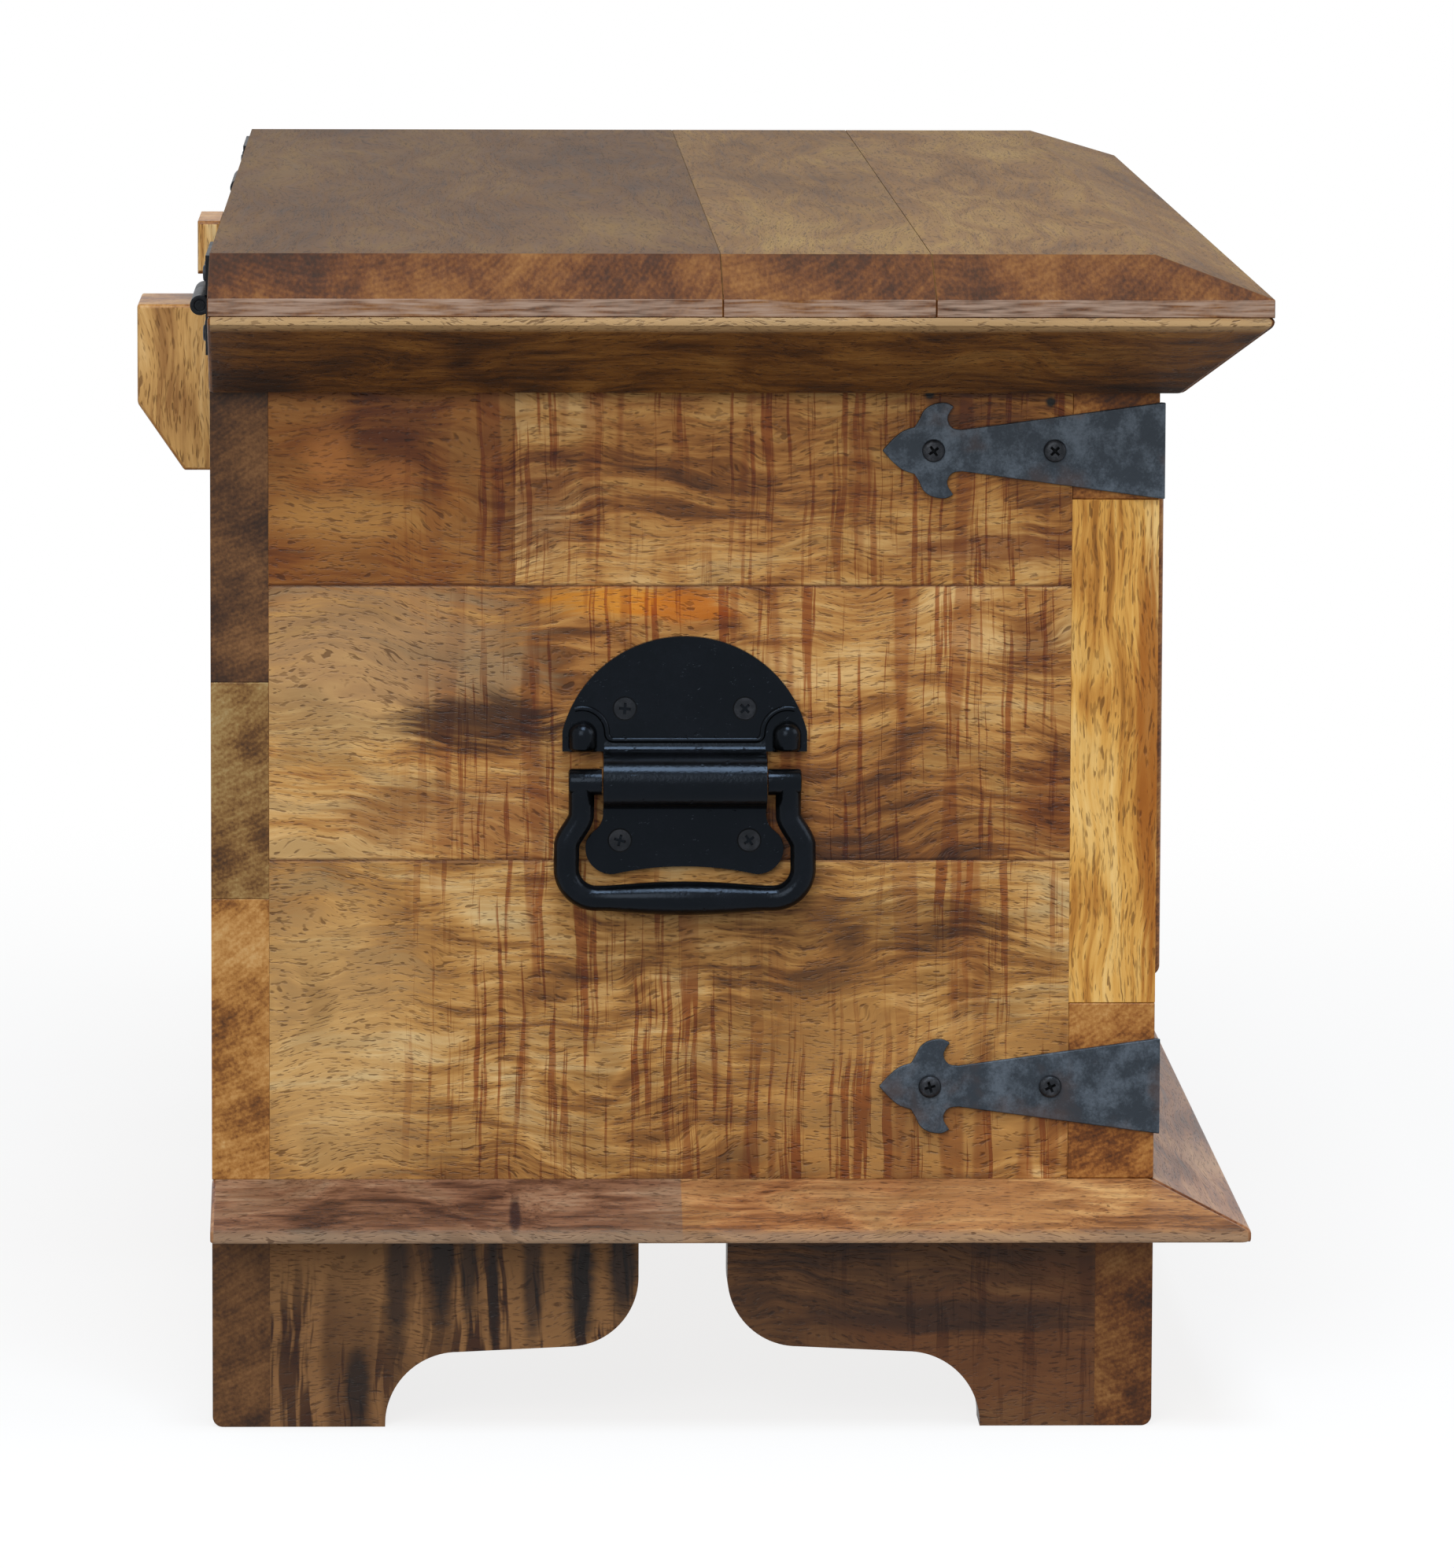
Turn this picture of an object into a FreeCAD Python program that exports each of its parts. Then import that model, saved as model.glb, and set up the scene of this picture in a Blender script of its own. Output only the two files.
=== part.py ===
import FreeCAD, Part
import math
import os
import re
import Sketcher
from FreeCAD import Rotation, Vector

# A rustic solid-wood storage chest: hinged lid with a bevelled skirt, a framed front with three raised
# panels, plank ends and back, a moulded plinth on bracket feet, iron corner straps and drop handles.
# Frame: +X along the chest, -Y its front, +Z up, origin on the floor under the middle of its outline.

doc = FreeCAD.newDocument("storage_chest")

# Driving dimensions in millimetres
dimensions = {
    # Lid: edge-glued boards, bevelled on the front and both ends, with a skirt moulding below
    "lid_length": 900,
    "lid_depth": 400,
    "lid_thickness": 21,
    "lid_edge": 7,
    "lid_bevel": 42,
    "lid_back_board": 193,
    "lid_middle_board": 80,
    "lid_overhang": 40,
    "lid_gap": 0.3,
    "skirt_height": 31,
    "skirt_edge": 3,
    "skirt_bevel": 32,
    "skirt_gap": 1.5,
    "batten_width": 45,
    "batten_height": 18,
    "batten_chamfer": 12,
    "batten_inset": 150,
    "batten_gap": 12,
    # Case
    "case_height": 332.7,
    "front_thickness": 33,
    "back_thickness": 22,
    "end_thickness": 20,
    "end_bottom_plank": 123,
    "end_middle_plank": 105,
    "back_bottom_plank": 108,
    "back_middle_plank": 83,
    "top_rail": 71.7,
    "bottom_rail": 68,
    "stile_width": 70,
    "muntin_width": 60,
    "groove_width": 10,
    "groove_depth": 8,
    "groove_setback": 12,
    "groove_stop": 25,
    "groove_fit": 0.2,
    "tongue_gap": 0.5,
    "panel_proud": 7,
    "panel_round": 4,
    "bottom_thickness": 12,
    "bottom_gap": 0.5,
    "bearer_width": 50,
    # Plinth and bracket feet
    "plinth_thickness": 19,
    "plinth_edge": 5,
    "plinth_overhang": 35,
    "plinth_inner": 48,
    "foot_height": 77,
    "foot_gap": 34,
    "foot_thickness": 22,
    "foot_toe": 66,
    "foot_heel": 1,
    "foot_hollow": 28,
    "foot_knee": 27,
    "foot_lip": 19,
    "foot_round": 4,
    "block_side": 32,
    "block_lift": 8,
    # Lid stop: a block on the lid's back edge that lands on a block on the case
    "stop_inset": 223,
    "stop_width": 60,
    "stop_reach": 33,
    "stop_drop": 12,
    "stop_height": 66,
    "stop_chamfer": 26.6,
    "stop_heel": 14.6,
    "lid_stop_reach": 9,
    # Butt hinges on the back
    "hinge_inset": 60,
    "hinge_length": 76,
    "knuckle_radius": 3.8,
    "knuckle_gap": 0.3,
    "pin_radius": 2,
    "running_fit": 0.05,
    "leaf_width": 19,
    "leaf_thickness": 2,
    # Corner straps with a fleur end
    "strap_length": 107,
    "strap_width": 36.7,
    "strap_thickness": 2,
    "strap_bend": 1.6,
    "neck_at": 79,
    "neck_half": 8,
    "horn_at": 80.6,
    "horn_half": 16.2,
    "horn_hollow": 5,
    "lobe_radius": 8.4,
    "lobe_at": 94.5,
    "lobe_half": 10,
    "spear_radius": 40,
    "upper_strap_drop": 53,
    "lower_strap_rise": 36,
    # Drop handles
    "handle_height": 154,
    "plate_thickness": 3,
    "arch_radius": 47.9,
    "arch_rise": 55,
    "ear_half": 46.5,
    "ear_level": 11,
    "boss_at": 38.5,
    "boss_radius": 5,
    "boss_length": 11,
    "boss_reach": 7,
    "boss_chamfer": 2.4,
    "barrel_half": 31,
    "barrel_radius": 10.3,
    "pivot_standoff": 8.4,
    "flare_drop": 13,
    "wing_half": 37.7,
    "wing_drop": 26,
    "hem_half": 27,
    "hem_drop": 36,
    "hem_rise": 3,
    "bail_radius": 4.6,
    "stub_radius": 4,
    "stub_depth": 12,
    "collar_radius": 5,
    "collar_play": 0.5,
    "arm_half": 39.3,
    "arm_drop": 12,
    "elbow_half": 45,
    "elbow_drop": 25,
    "corner_radius": 11.5,
    "grip_drop": 44.5,
    "grip_radius": 6.6,
    "grip_half": 30,
}

sheet = doc.addObject("Spreadsheet::Sheet", "sizes")
for row, (alias, size) in enumerate(dimensions.items(), start=1):
    sheet.set(f"A{row}", alias)
    sheet.set(f"B{row}", str(size))
    sheet.setAlias(f"B{row}", alias)
doc.recompute()


def bind(text):
    """Point every size named in an expression at its cell in the sheet."""
    def cell(word):
        return f"sizes.{word[0]}" if word[0] in dimensions else word[0]
    return re.sub(r"[a-z]\w*", cell, str(text))


def value(text):
    return float(sheet.evalExpression(bind(text)))


# Places that follow from the driving dimensions
lid_end = "(lid_length / 2)"
lid_front = "(-(lid_depth + stop_reach) / 2)"
back = "((lid_depth - stop_reach) / 2)"
case_end = "(lid_length / 2 - lid_overhang)"
case_front = f"({lid_front} + lid_overhang)"
plinth_top = "(foot_height + plinth_thickness)"
case_top = f"({plinth_top} + case_height)"
lid_under = f"({case_top} + lid_gap)"
lid_top = f"({lid_under} + lid_thickness)"
frame_inside = f"({case_front} + front_thickness)"
back_inside = f"({back} - back_thickness)"

pieces = []


def keep(item, label):
    """Count an object of the document as one piece of the chest."""
    item.Label = label
    pieces.append(item)
    return item


def bind_place(item, x, y, z):
    for axis, text in zip("xyz", (x, y, z)):
        item.setExpression(f"Placement.Base.{axis}", bind(text))


def box(x_span, y_span, z_span):
    item = doc.addObject("Part::Box", "board")
    for side, (low, high) in zip(("Length", "Width", "Height"), (x_span, y_span, z_span)):
        item.setExpression(side, bind(f"({high}) - ({low})"))
    bind_place(item, x_span[0], y_span[0], z_span[0])
    return item


def rod(radius, start, direction, length):
    item = doc.addObject("Part::Cylinder", "rod")
    item.setExpression("Radius", bind(radius))
    item.setExpression("Height", bind(length))
    item.Placement.Rotation = Rotation(Vector(0, 0, 1), direction)
    bind_place(item, *start)
    return item


def group(items):
    item = doc.addObject("Part::Compound", "group")
    item.Links = items
    return item


def fuse(items):
    item = doc.addObject("Part::MultiFuse", "joined")
    item.Shapes = items
    return item


def cut(base, tools):
    item = doc.addObject("Part::Cut", "cut")
    item.Base = base
    item.Tool = group(tools)
    return item


def mirror(source, label):
    """The right-hand twin of a left-hand piece."""
    item = doc.addObject("Part::Mirroring", "twin")
    item.Source = source
    item.Normal = Vector(1, 0, 0)
    return keep(item, label)


def new_body(label):
    return keep(doc.addObject("PartDesign::Body", "body"), label)


def sketch_on(body, plane, offset="0"):
    """A sketch on one of the body's origin planes, moved to the given place along the third axis."""
    sketch = body.newObject("Sketcher::SketchObject", "sketch")
    support = next(item for item in body.Origin.OriginFeatures if item.Role == plane)
    sketch.AttachmentSupport = [(support, "")]
    sketch.MapMode = "FlatFace"
    sign = "-" if plane == "XZ_Plane" else ""
    sketch.setExpression("AttachmentOffset.Base.z", bind(f"{sign}({offset})"))
    return sketch


def place_point(sketch, side, end, corner, point):
    for kind, text, place in zip(("DistanceX", "DistanceY"), corner, (point.x, point.y)):
        constraint = sketch.addConstraint(Sketcher.Constraint(kind, -1, 1, side, end, place))
        sketch.setExpression(f"Constraints[{constraint}]", bind(text))


def arc_between(here, there, radius, turn):
    """The short arc from here to there, with its centre on the left (turn 1) or right (turn -1)."""
    chord = there - here
    reach = math.sqrt(max(radius ** 2 - (chord.Length / 2) ** 2, 0))
    left = Vector(-chord.y, chord.x, 0).normalize()
    centre = (here + there) / 2 + left * (reach * turn)
    begin, finish = (here, there) if turn > 0 else (there, here)
    angles = [math.atan2(point.y - centre.y, point.x - centre.x) for point in (begin, finish)]
    return Part.ArcOfCircle(Part.Circle(centre, Vector(0, 0, 1), radius), *angles)


def trace(sketch, corners, rounds=None):
    """Draw a closed outline through corners given as expressions; rounds maps a side to (radius, turn)."""
    rounds = rounds or {}
    points = [Vector(value(x), value(y), 0) for x, y in corners]
    ends = []
    for number, here in enumerate(points):
        there = points[(number + 1) % len(points)]
        if number in rounds:
            radius, turn = rounds[number]
            side = sketch.addGeometry(arc_between(here, there, value(radius), turn))
            ends.append((side, 1, 2) if turn > 0 else (side, 2, 1))
        else:
            side = sketch.addGeometry(Part.LineSegment(here, there))
            ends.append((side, 1, 2))
    for number, (side, begin, finish) in enumerate(ends):
        place_point(sketch, side, begin, corners[number], points[number])
        next_side, next_begin, _ = ends[(number + 1) % len(ends)]
        sketch.addConstraint(Sketcher.Constraint("Coincident", side, finish, next_side, next_begin))
    for number, (radius, _) in rounds.items():
        size = Sketcher.Constraint("Radius", ends[number][0], value(radius))
        sketch.setExpression(f"Constraints[{sketch.addConstraint(size)}]", bind(radius))


def trace_circle(sketch, x, y, radius):
    centre = Vector(value(x), value(y), 0)
    side = sketch.addGeometry(Part.Circle(centre, Vector(0, 0, 1), value(radius)))
    place_point(sketch, side, 3, (x, y), centre)
    size = Sketcher.Constraint("Radius", side, value(radius))
    sketch.setExpression(f"Constraints[{sketch.addConstraint(size)}]", bind(radius))


def pad(body, sketch, length, reverse=False, both_ways=False):
    feature = body.newObject("PartDesign::Pad", "pad")
    feature.Profile = sketch
    feature.setExpression("Length", bind(length))
    feature.Reversed = reverse
    if both_ways:
        feature.SideType = "Symmetric"
    return feature


def pocket_through(body, sketch):
    doc.recompute()
    before = body.Shape.Volume
    feature = body.newObject("PartDesign::Pocket", "pocket")
    feature.Profile = sketch
    feature.SideType = "Symmetric"
    feature.Type = "ThroughAll"
    doc.recompute()
    if body.Shape.Volume >= before:
        raise RuntimeError(f"{body.Label}: the pocket cuts nothing")
    return feature


def dress_edges(body, kind, size, chosen):
    """Fillet or chamfer the edges of the body whose every vertex passes the test."""
    doc.recompute()
    tip = body.Tip
    names = []
    for number, edge in enumerate(tip.Shape.Edges, start=1):
        if all(chosen(vertex.Point) for vertex in edge.Vertexes):
            names.append(f"Edge{number}")
    feature = body.newObject(f"PartDesign::{kind}", "dressed")
    feature.Base = (tip, names)
    feature.setExpression("Radius" if kind == "Fillet" else "Size", bind(size))
    return feature


def near(one, other):
    return abs(one - other) < 0.01


# Lid boards
def lid_board(label, rear, width):
    body = new_body(label)
    profile = sketch_on(body, "XZ_Plane", rear)
    shoulder = f"{lid_under} + lid_edge"
    crest = f"{lid_end} - lid_bevel"
    trace(profile, [
        (f"-{lid_end}", lid_under), (lid_end, lid_under), (lid_end, shoulder),
        (crest, lid_top), (f"-({crest})", lid_top), (f"-{lid_end}", shoulder),
    ])
    pad(body, profile, width)
    return body


lid_board("lid_back_board", back, "lid_back_board")
lid_board("lid_middle_board", f"{back} - lid_back_board", "lid_middle_board")
lid_front_width = "lid_depth - lid_back_board - lid_middle_board"
lid_front_board = lid_board("lid_front_board", f"{lid_front} + {lid_front_width}", lid_front_width)
bevel = sketch_on(lid_front_board, "YZ_Plane")
trace(bevel, [
    (lid_front, f"{lid_under} + lid_edge"), (f"{lid_front} + lid_bevel", lid_top), (lid_front, lid_top),
])
pocket_through(lid_front_board, bevel)


# Skirt and plinth mouldings share one way of mitring: front piece, then a left piece and its twin
def moulding(name, profile_of, outer_end, outer_front, inner_end, inner_front):
    """Front and end mouldings; profile_of gives the section from the outer and inner faces."""
    front = new_body(f"{name}_front")
    section = sketch_on(front, "YZ_Plane")
    trace(section, profile_of(outer_front, inner_front))
    pad(front, section, f"2 * {outer_end}", both_ways=True)
    mitres = sketch_on(front, "XY_Plane")
    for side in (-1, 1):
        trace(mitres, [
            (f"{side} * {outer_end}", outer_front),
            (f"{side} * {outer_end}", inner_front),
            (f"{side} * {inner_end}", inner_front),
        ])
    pocket_through(front, mitres)
    left = new_body(f"{name}_left")
    section = sketch_on(left, "XZ_Plane", back)
    trace(section, profile_of(f"(-{outer_end})", f"(-{inner_end})"))
    pad(left, section, f"{back} - {outer_front}")
    mitre = sketch_on(left, "XY_Plane")
    trace(mitre, [
        (f"-{outer_end}", outer_front), (f"-{inner_end}", inner_front), (f"-{inner_end}", outer_front),
    ])
    pocket_through(left, mitre)
    mirror(left, f"{name}_right")


def skirt_profile(outer, inner):
    hem = f"{lid_under} - skirt_height"
    return [
        (outer, lid_under), (outer, f"{lid_under} - skirt_edge"), (f"{outer} + skirt_bevel", hem),
        (inner, hem), (inner, lid_under),
    ]


def plinth_profile(outer, inner):
    return [
        (outer, "foot_height"), (outer, "foot_height + plinth_edge"),
        (f"{outer} + plinth_overhang", plinth_top), (inner, plinth_top), (inner, "foot_height"),
    ]


moulding(
    "skirt", skirt_profile, lid_end, lid_front, f"({case_end} + skirt_gap)", f"({case_front} - skirt_gap)",
)
plinth_end = f"({case_end} + plinth_overhang)"
plinth_front = f"({case_front} - plinth_overhang)"
plinth_inside = f"({case_end} - plinth_inner)"
plinth_inside_front = f"({case_front} + plinth_inner)"
plinth_inside_back = f"({back} - plinth_inner)"
moulding("plinth", plinth_profile, plinth_end, plinth_front, plinth_inside, plinth_inside_front)
keep(
    box((f"-{plinth_inside}", plinth_inside), (plinth_inside_back, back), ("foot_height", plinth_top)),
    "plinth_back",
)

# Battens that keep the lid flat, with their ends chamfered below
batten = new_body("lid_batten_left")
batten_start = f"-{case_end} + batten_inset"
section = sketch_on(batten, "YZ_Plane", batten_start)
batten_front = f"{frame_inside} + batten_gap"
batten_back = f"{back_inside} - batten_gap"
batten_low = f"{lid_under} - batten_height"
trace(section, [
    (f"{batten_front} + batten_chamfer", batten_low), (f"{batten_back} - batten_chamfer", batten_low),
    (batten_back, f"{batten_low} + batten_chamfer"), (batten_back, lid_under),
    (batten_front, lid_under), (batten_front, f"{batten_low} + batten_chamfer"),
])
pad(batten, section, "batten_width")
mirror(batten, "lid_batten_right")

# Plank ends between the front frame and the back
end_levels = [
    plinth_top,
    f"({plinth_top} + end_bottom_plank)",
    f"({plinth_top} + end_bottom_plank + end_middle_plank)",
    case_top,
]


for number, name in enumerate(("bottom", "middle", "top")):
    x_span = (f"-{case_end}", f"-{case_end} + end_thickness")
    plank = box(x_span, (frame_inside, back_inside), (end_levels[number], end_levels[number + 1]))
    keep(plank, f"left_end_{name}_plank")
    mirror(plank, f"right_end_{name}_plank")

# Back planks
back_levels = [
    plinth_top,
    f"({plinth_top} + back_bottom_plank)",
    f"({plinth_top} + back_bottom_plank + back_middle_plank)",
    case_top,
]
for number, name in enumerate(("bottom", "middle", "top")):
    z_span = (back_levels[number], back_levels[number + 1])
    keep(box((f"-{case_end}", case_end), (back_inside, back), z_span), f"back_{name}_plank")

# Front frame: grooved rails, stiles and muntins with stub tenons, and three raised panels
groove_front = f"({case_front} + groove_setback)"
groove_back = f"({groove_front} + groove_width)"
tongue_front = f"({groove_front} + groove_fit)"
tongue_back = f"({groove_back} - groove_fit)"
opening_low = f"({plinth_top} + bottom_rail)"
opening_high = f"({case_top} - top_rail)"
opening_start = f"(-{case_end} + stile_width)"
opening_width = f"((2 * ({case_end} - stile_width) - 2 * muntin_width) / 3)"
tenon_reach = "(groove_depth - tongue_gap)"
frame_depth = (case_front, frame_inside)
rail_groove_span = (f"-({case_end} - groove_stop)", f"{case_end} - groove_stop")


def rail(label, z_span, groove_span):
    blank = box((f"-{case_end}", case_end), frame_depth, z_span)
    keep(cut(blank, [box(rail_groove_span, (groove_front, groove_back), groove_span)]), label)


rail("front_top_rail", (opening_high, case_top), (opening_high, f"{opening_high} + groove_depth"))
rail("front_bottom_rail", (plinth_top, opening_low), (f"{opening_low} - groove_depth", opening_low))


def upright(low, high, tenon_low, tenon_high, grooves):
    """A stile or muntin between the rails, grooved along the edges given."""
    blank = box((low, high), frame_depth, (opening_low, opening_high))
    tenon_span = (f"{opening_low} - {tenon_reach}", f"{opening_high} + {tenon_reach}")
    tenon = box((tenon_low, tenon_high), (tongue_front, tongue_back), tenon_span)
    tools = [box(span, (groove_front, groove_back), tenon_span) for span in grooves]
    return cut(fuse([blank, tenon]), tools)


stile_edge = f"-{case_end} + stile_width"
stile = upright(
    f"-{case_end}", stile_edge, f"-{case_end} + groove_stop + tongue_gap", stile_edge,
    [(f"{stile_edge} - groove_depth", stile_edge)],
)
keep(stile, "front_stile_left")
mirror(stile, "front_stile_right")
muntin_low = f"{opening_start} + {opening_width}"
muntin_high = f"{muntin_low} + muntin_width"
muntin = upright(
    muntin_low, muntin_high, muntin_low, muntin_high,
    [(muntin_low, f"{muntin_low} + groove_depth"), (f"{muntin_high} - groove_depth", muntin_high)],
)
keep(muntin, "front_muntin_left")
mirror(muntin, "front_muntin_right")


def rectangle(low_x, high_x, low_y, high_y):
    return [(low_x, low_y), (high_x, low_y), (high_x, high_y), (low_x, high_y)]


for number, name in enumerate(("left", "middle", "right")):
    panel = new_body(f"front_panel_{name}")
    low = f"{opening_start} + {number} * ({opening_width} + muntin_width)"
    high = f"{low} + {opening_width}"
    field = sketch_on(panel, "XZ_Plane", groove_back)
    trace(field, rectangle(
        f"{low} + tongue_gap", f"{high} - tongue_gap",
        f"{opening_low} + tongue_gap", f"{opening_high} - tongue_gap",
    ))
    pad(panel, field, "groove_setback + groove_width + panel_proud")
    tongue = sketch_on(panel, "XZ_Plane", tongue_back)
    trace(tongue, rectangle(
        f"{low} - {tenon_reach}", f"{high} + {tenon_reach}",
        f"{opening_low} - {tenon_reach}", f"{opening_high} + {tenon_reach}",
    ))
    pad(panel, tongue, "groove_width - 2 * groove_fit")
    panel_face = value(f"{case_front} - panel_proud")
    dress_edges(panel, "Fillet", "panel_round", lambda point: near(point.y, panel_face))

# Bottom panel on the plinth's inner ledge, with a bearer across the middle
inner_end = f"({case_end} - end_thickness - bottom_gap)"
keep(
    box(
        (f"-{inner_end}", inner_end), (f"{frame_inside} + bottom_gap", f"{back_inside} - bottom_gap"),
        (plinth_top, f"{plinth_top} + bottom_thickness"),
    ),
    "bottom_panel",
)
keep(
    box(
        ("-bearer_width / 2", "bearer_width / 2"), (plinth_inside_front, plinth_inside_back),
        ("foot_height", plinth_top),
    ),
    "bottom_bearer",
)


# Bracket feet: two shaped boards at each corner, the front and back ones running to the end face
foot_length = f"(({back} - {case_front} - foot_gap) / 2)"


def foot_outline(origin, way, start):
    """Bracket outline from the outer corner at origin; way is 1 or -1 along the sketch's first axis."""
    def at(reach, level):
        return (f"{origin} + {way} * ({reach})", level)
    hollow_level = "foot_heel + foot_hollow"
    knee_level = "foot_height - foot_lip - foot_knee"
    corners = [
        at(start, "0"), at("foot_toe", "0"), at("foot_toe", "foot_heel"),
        at("foot_toe + foot_hollow", hollow_level), at(f"{foot_length} - foot_knee", knee_level),
        at(foot_length, "foot_height - foot_lip"), at(foot_length, "foot_height"),
        at(start, "foot_height"),
    ]
    return corners, {2: ("foot_hollow", -way), 4: ("foot_knee", way)}


for row, row_face, reverse in (("front", case_front, True), ("back", back, False)):
    board = new_body(f"foot_{row}_left_{row}")
    outline = sketch_on(board, "XZ_Plane", row_face)
    trace(outline, *foot_outline(f"-{case_end}", 1, "0"))
    pad(board, outline, "foot_thickness", reverse)
    face = value(row_face)
    dress_edges(board, "Fillet", "foot_round", lambda point: near(point.z, 0) and near(point.y, face))
    mirror(board, f"foot_{row}_right_{row}")
    board = new_body(f"foot_{row}_left_end")
    outline = sketch_on(board, "YZ_Plane", f"-{case_end}")
    trace(outline, *foot_outline(row_face, 1 if row == "front" else -1, "foot_thickness"))
    pad(board, outline, "foot_thickness")
    mirror(board, f"foot_{row}_right_end")

blocks = []
block_low = f"-{case_end} + foot_thickness"
block_front = f"{case_front} + foot_thickness"
block_back = f"{back} - foot_thickness"
block_high = f"{block_low} + block_side"
for x_span in ((block_low, block_high), (f"-({block_high})", f"-({block_low})")):
    for y_span in ((block_front, f"{block_front} + block_side"), (f"{block_back} - block_side", block_back)):
        blocks.append(box(x_span, y_span, ("block_lift", "foot_height")))
keep(group(blocks), "foot_glue_blocks")

# Lid stop, one pair on the back
stop_span = (f"-{lid_end} + stop_inset", f"-{lid_end} + stop_inset + stop_width")
keep(box(stop_span, (back, f"{back} + lid_stop_reach"), (lid_under, lid_top)), "lid_stop")
case_stop = new_body("case_stop")
section = sketch_on(case_stop, "YZ_Plane", stop_span[0])
stop_top = f"{lid_under} - stop_drop"
stop_low = f"{stop_top} - stop_height"
trace(section, [
    (back, stop_low), (f"{back} + stop_heel", stop_low),
    (f"{back} + stop_reach", f"{stop_low} + stop_chamfer"), (f"{back} + stop_reach", stop_top),
    (back, stop_top),
])
pad(case_stop, section, "stop_width")

# Butt hinges on the back: the case leaf has the outer knuckles, the lid leaf the middle one
hinge_y = f"({back} + knuckle_radius + knuckle_gap)"
hinge_level = f"({case_top} + lid_gap / 2)"
hinge_start = f"(-{lid_end} + hinge_inset)"
along = Vector(1, 0, 0)


def hinge_leaf(label, way, thirds):
    """A leaf with its knuckles; thirds lists the thirds of the hinge's length that carry them."""
    def heights(inner, outer):
        span = (f"{hinge_level} + {way} * ({inner})", f"{hinge_level} + {way} * ({outer})")
        return span if way > 0 else span[::-1]
    plate_depth = (back, f"{back} + leaf_thickness")
    plate_span = (hinge_start, f"{hinge_start} + hinge_length")
    solids = [box(plate_span, plate_depth, heights("knuckle_radius", "leaf_width"))]
    for third in thirds:
        play = "knuckle_gap" if third == 1 else "0"
        low = f"{hinge_start} + hinge_length * {third} / 3 + {play}"
        length = f"hinge_length / 3 - 2 * {play}"
        solids.append(box((low, f"{low} + {length}"), plate_depth, heights("0", "knuckle_radius")))
        solids.append(rod("knuckle_radius", (low, hinge_y, hinge_level), along, length))
    bore = rod("pin_radius + running_fit", (hinge_start, hinge_y, hinge_level), along, "hinge_length")
    leaf = keep(cut(fuse(solids), [bore]), f"{label}_left")
    mirror(leaf, f"{label}_right")


hinge_leaf("hinge_case_leaf", -1, (0, 2))
hinge_leaf("hinge_lid_leaf", 1, (1,))
pin_starts = (hinge_start, f"-({hinge_start} + hinge_length)")
pins = [rod("pin_radius", (start, hinge_y, hinge_level), along, "hinge_length") for start in pin_starts]
keep(group(pins), "hinge_pins")


# Corner straps: two legs with the same fleur end, wrapped round the front corner
def strap_outline(origin, level, start):
    """One leg, from start at the corner to its point; half of the outline is mirrored about the level."""
    half = [
        (start, "strap_width / 2"), ("neck_at", "neck_half"), ("horn_at", "horn_half"),
        ("lobe_at", "lobe_half"), ("strap_length", "0"),
    ]
    under = [(f"{origin} + {reach}", f"{level} - {rise}") for reach, rise in half]
    over = [(f"{origin} + {reach}", f"{level} + {rise}") for reach, rise in half[-2::-1]]
    arcs = [("horn_hollow", 1), ("lobe_radius", 1), ("spear_radius", 1)]
    rounds = dict(enumerate(arcs + arcs[::-1], start=1))
    return under + over, rounds


def strap(label, level):
    body = new_body(f"{label}_left")
    leg = sketch_on(body, "YZ_Plane", f"-{case_end}")
    trace(leg, *strap_outline(case_front, level, "-strap_thickness"))
    pad(body, leg, "strap_thickness", reverse=True)
    leg = sketch_on(body, "XZ_Plane", case_front)
    trace(leg, *strap_outline(f"-{case_end}", level, "-strap_thickness"))
    pad(body, leg, "strap_thickness")
    corner_x = value(f"-{case_end} - strap_thickness")
    corner_y = value(f"{case_front} - strap_thickness")
    at_corner = lambda point: near(point.x, corner_x) and near(point.y, corner_y)
    dress_edges(body, "Fillet", "strap_bend", at_corner)
    mirror(body, f"{label}_right")


strap("upper_strap", f"({case_top} - upper_strap_drop)")
strap("lower_strap", f"({plinth_top} + lower_strap_rise)")


# Drop handles: a cast plate with a barrel, and a bail with a swelled grip
handle_y = f"(({case_front} + {back}) / 2)"
handle_z = f"({plinth_top} + handle_height)"


def s_bend(shift, drop):
    """Radius of the two equal arcs that shift a line sideways over a drop."""
    return f"((({shift}) / 2)^2 + (({drop}) / 2)^2) / ({shift})"


def handle_point(half, rise):
    return (f"{handle_y} + {half}", f"{handle_z} + {rise}")


plate = new_body("handle_plate_left")
wall = f"(-{case_end})"
spring = "arch_rise - arch_radius + sqrt(arch_radius^2 - ear_half^2)"
flare_half = "(barrel_half + wing_half) / 2"
flare_level = "-(flare_drop + wing_drop) / 2"
flare = s_bend("wing_half - barrel_half", "wing_drop - flare_drop")
wing = "((wing_half - hem_half)^2 + (hem_drop - wing_drop)^2) / (2 * (wing_half - hem_half))"
hem = "(hem_half^2 + hem_rise^2) / (2 * hem_rise)"
right_side = [
    ("hem_half", "-hem_drop"), ("wing_half", "-wing_drop"), (flare_half, flare_level),
    ("barrel_half", "-flare_drop"), ("barrel_half", "ear_level"), ("ear_half", "ear_level"),
    ("ear_half", spring),
]
left_side = [(f"-({half})", rise) for half, rise in reversed(right_side)]
outline = sketch_on(plate, "YZ_Plane", wall)
trace(outline, [handle_point(*corner) for corner in right_side + left_side], {
    0: (wing, 1), 1: (flare, 1), 2: (flare, -1), 6: ("arch_radius", 1),
    10: (flare, -1), 11: (flare, 1), 12: (wing, 1), 13: (hem, -1),
})
pad(plate, outline, "plate_thickness", reverse=True)
bosses = sketch_on(plate, "YZ_Plane", wall)
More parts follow.
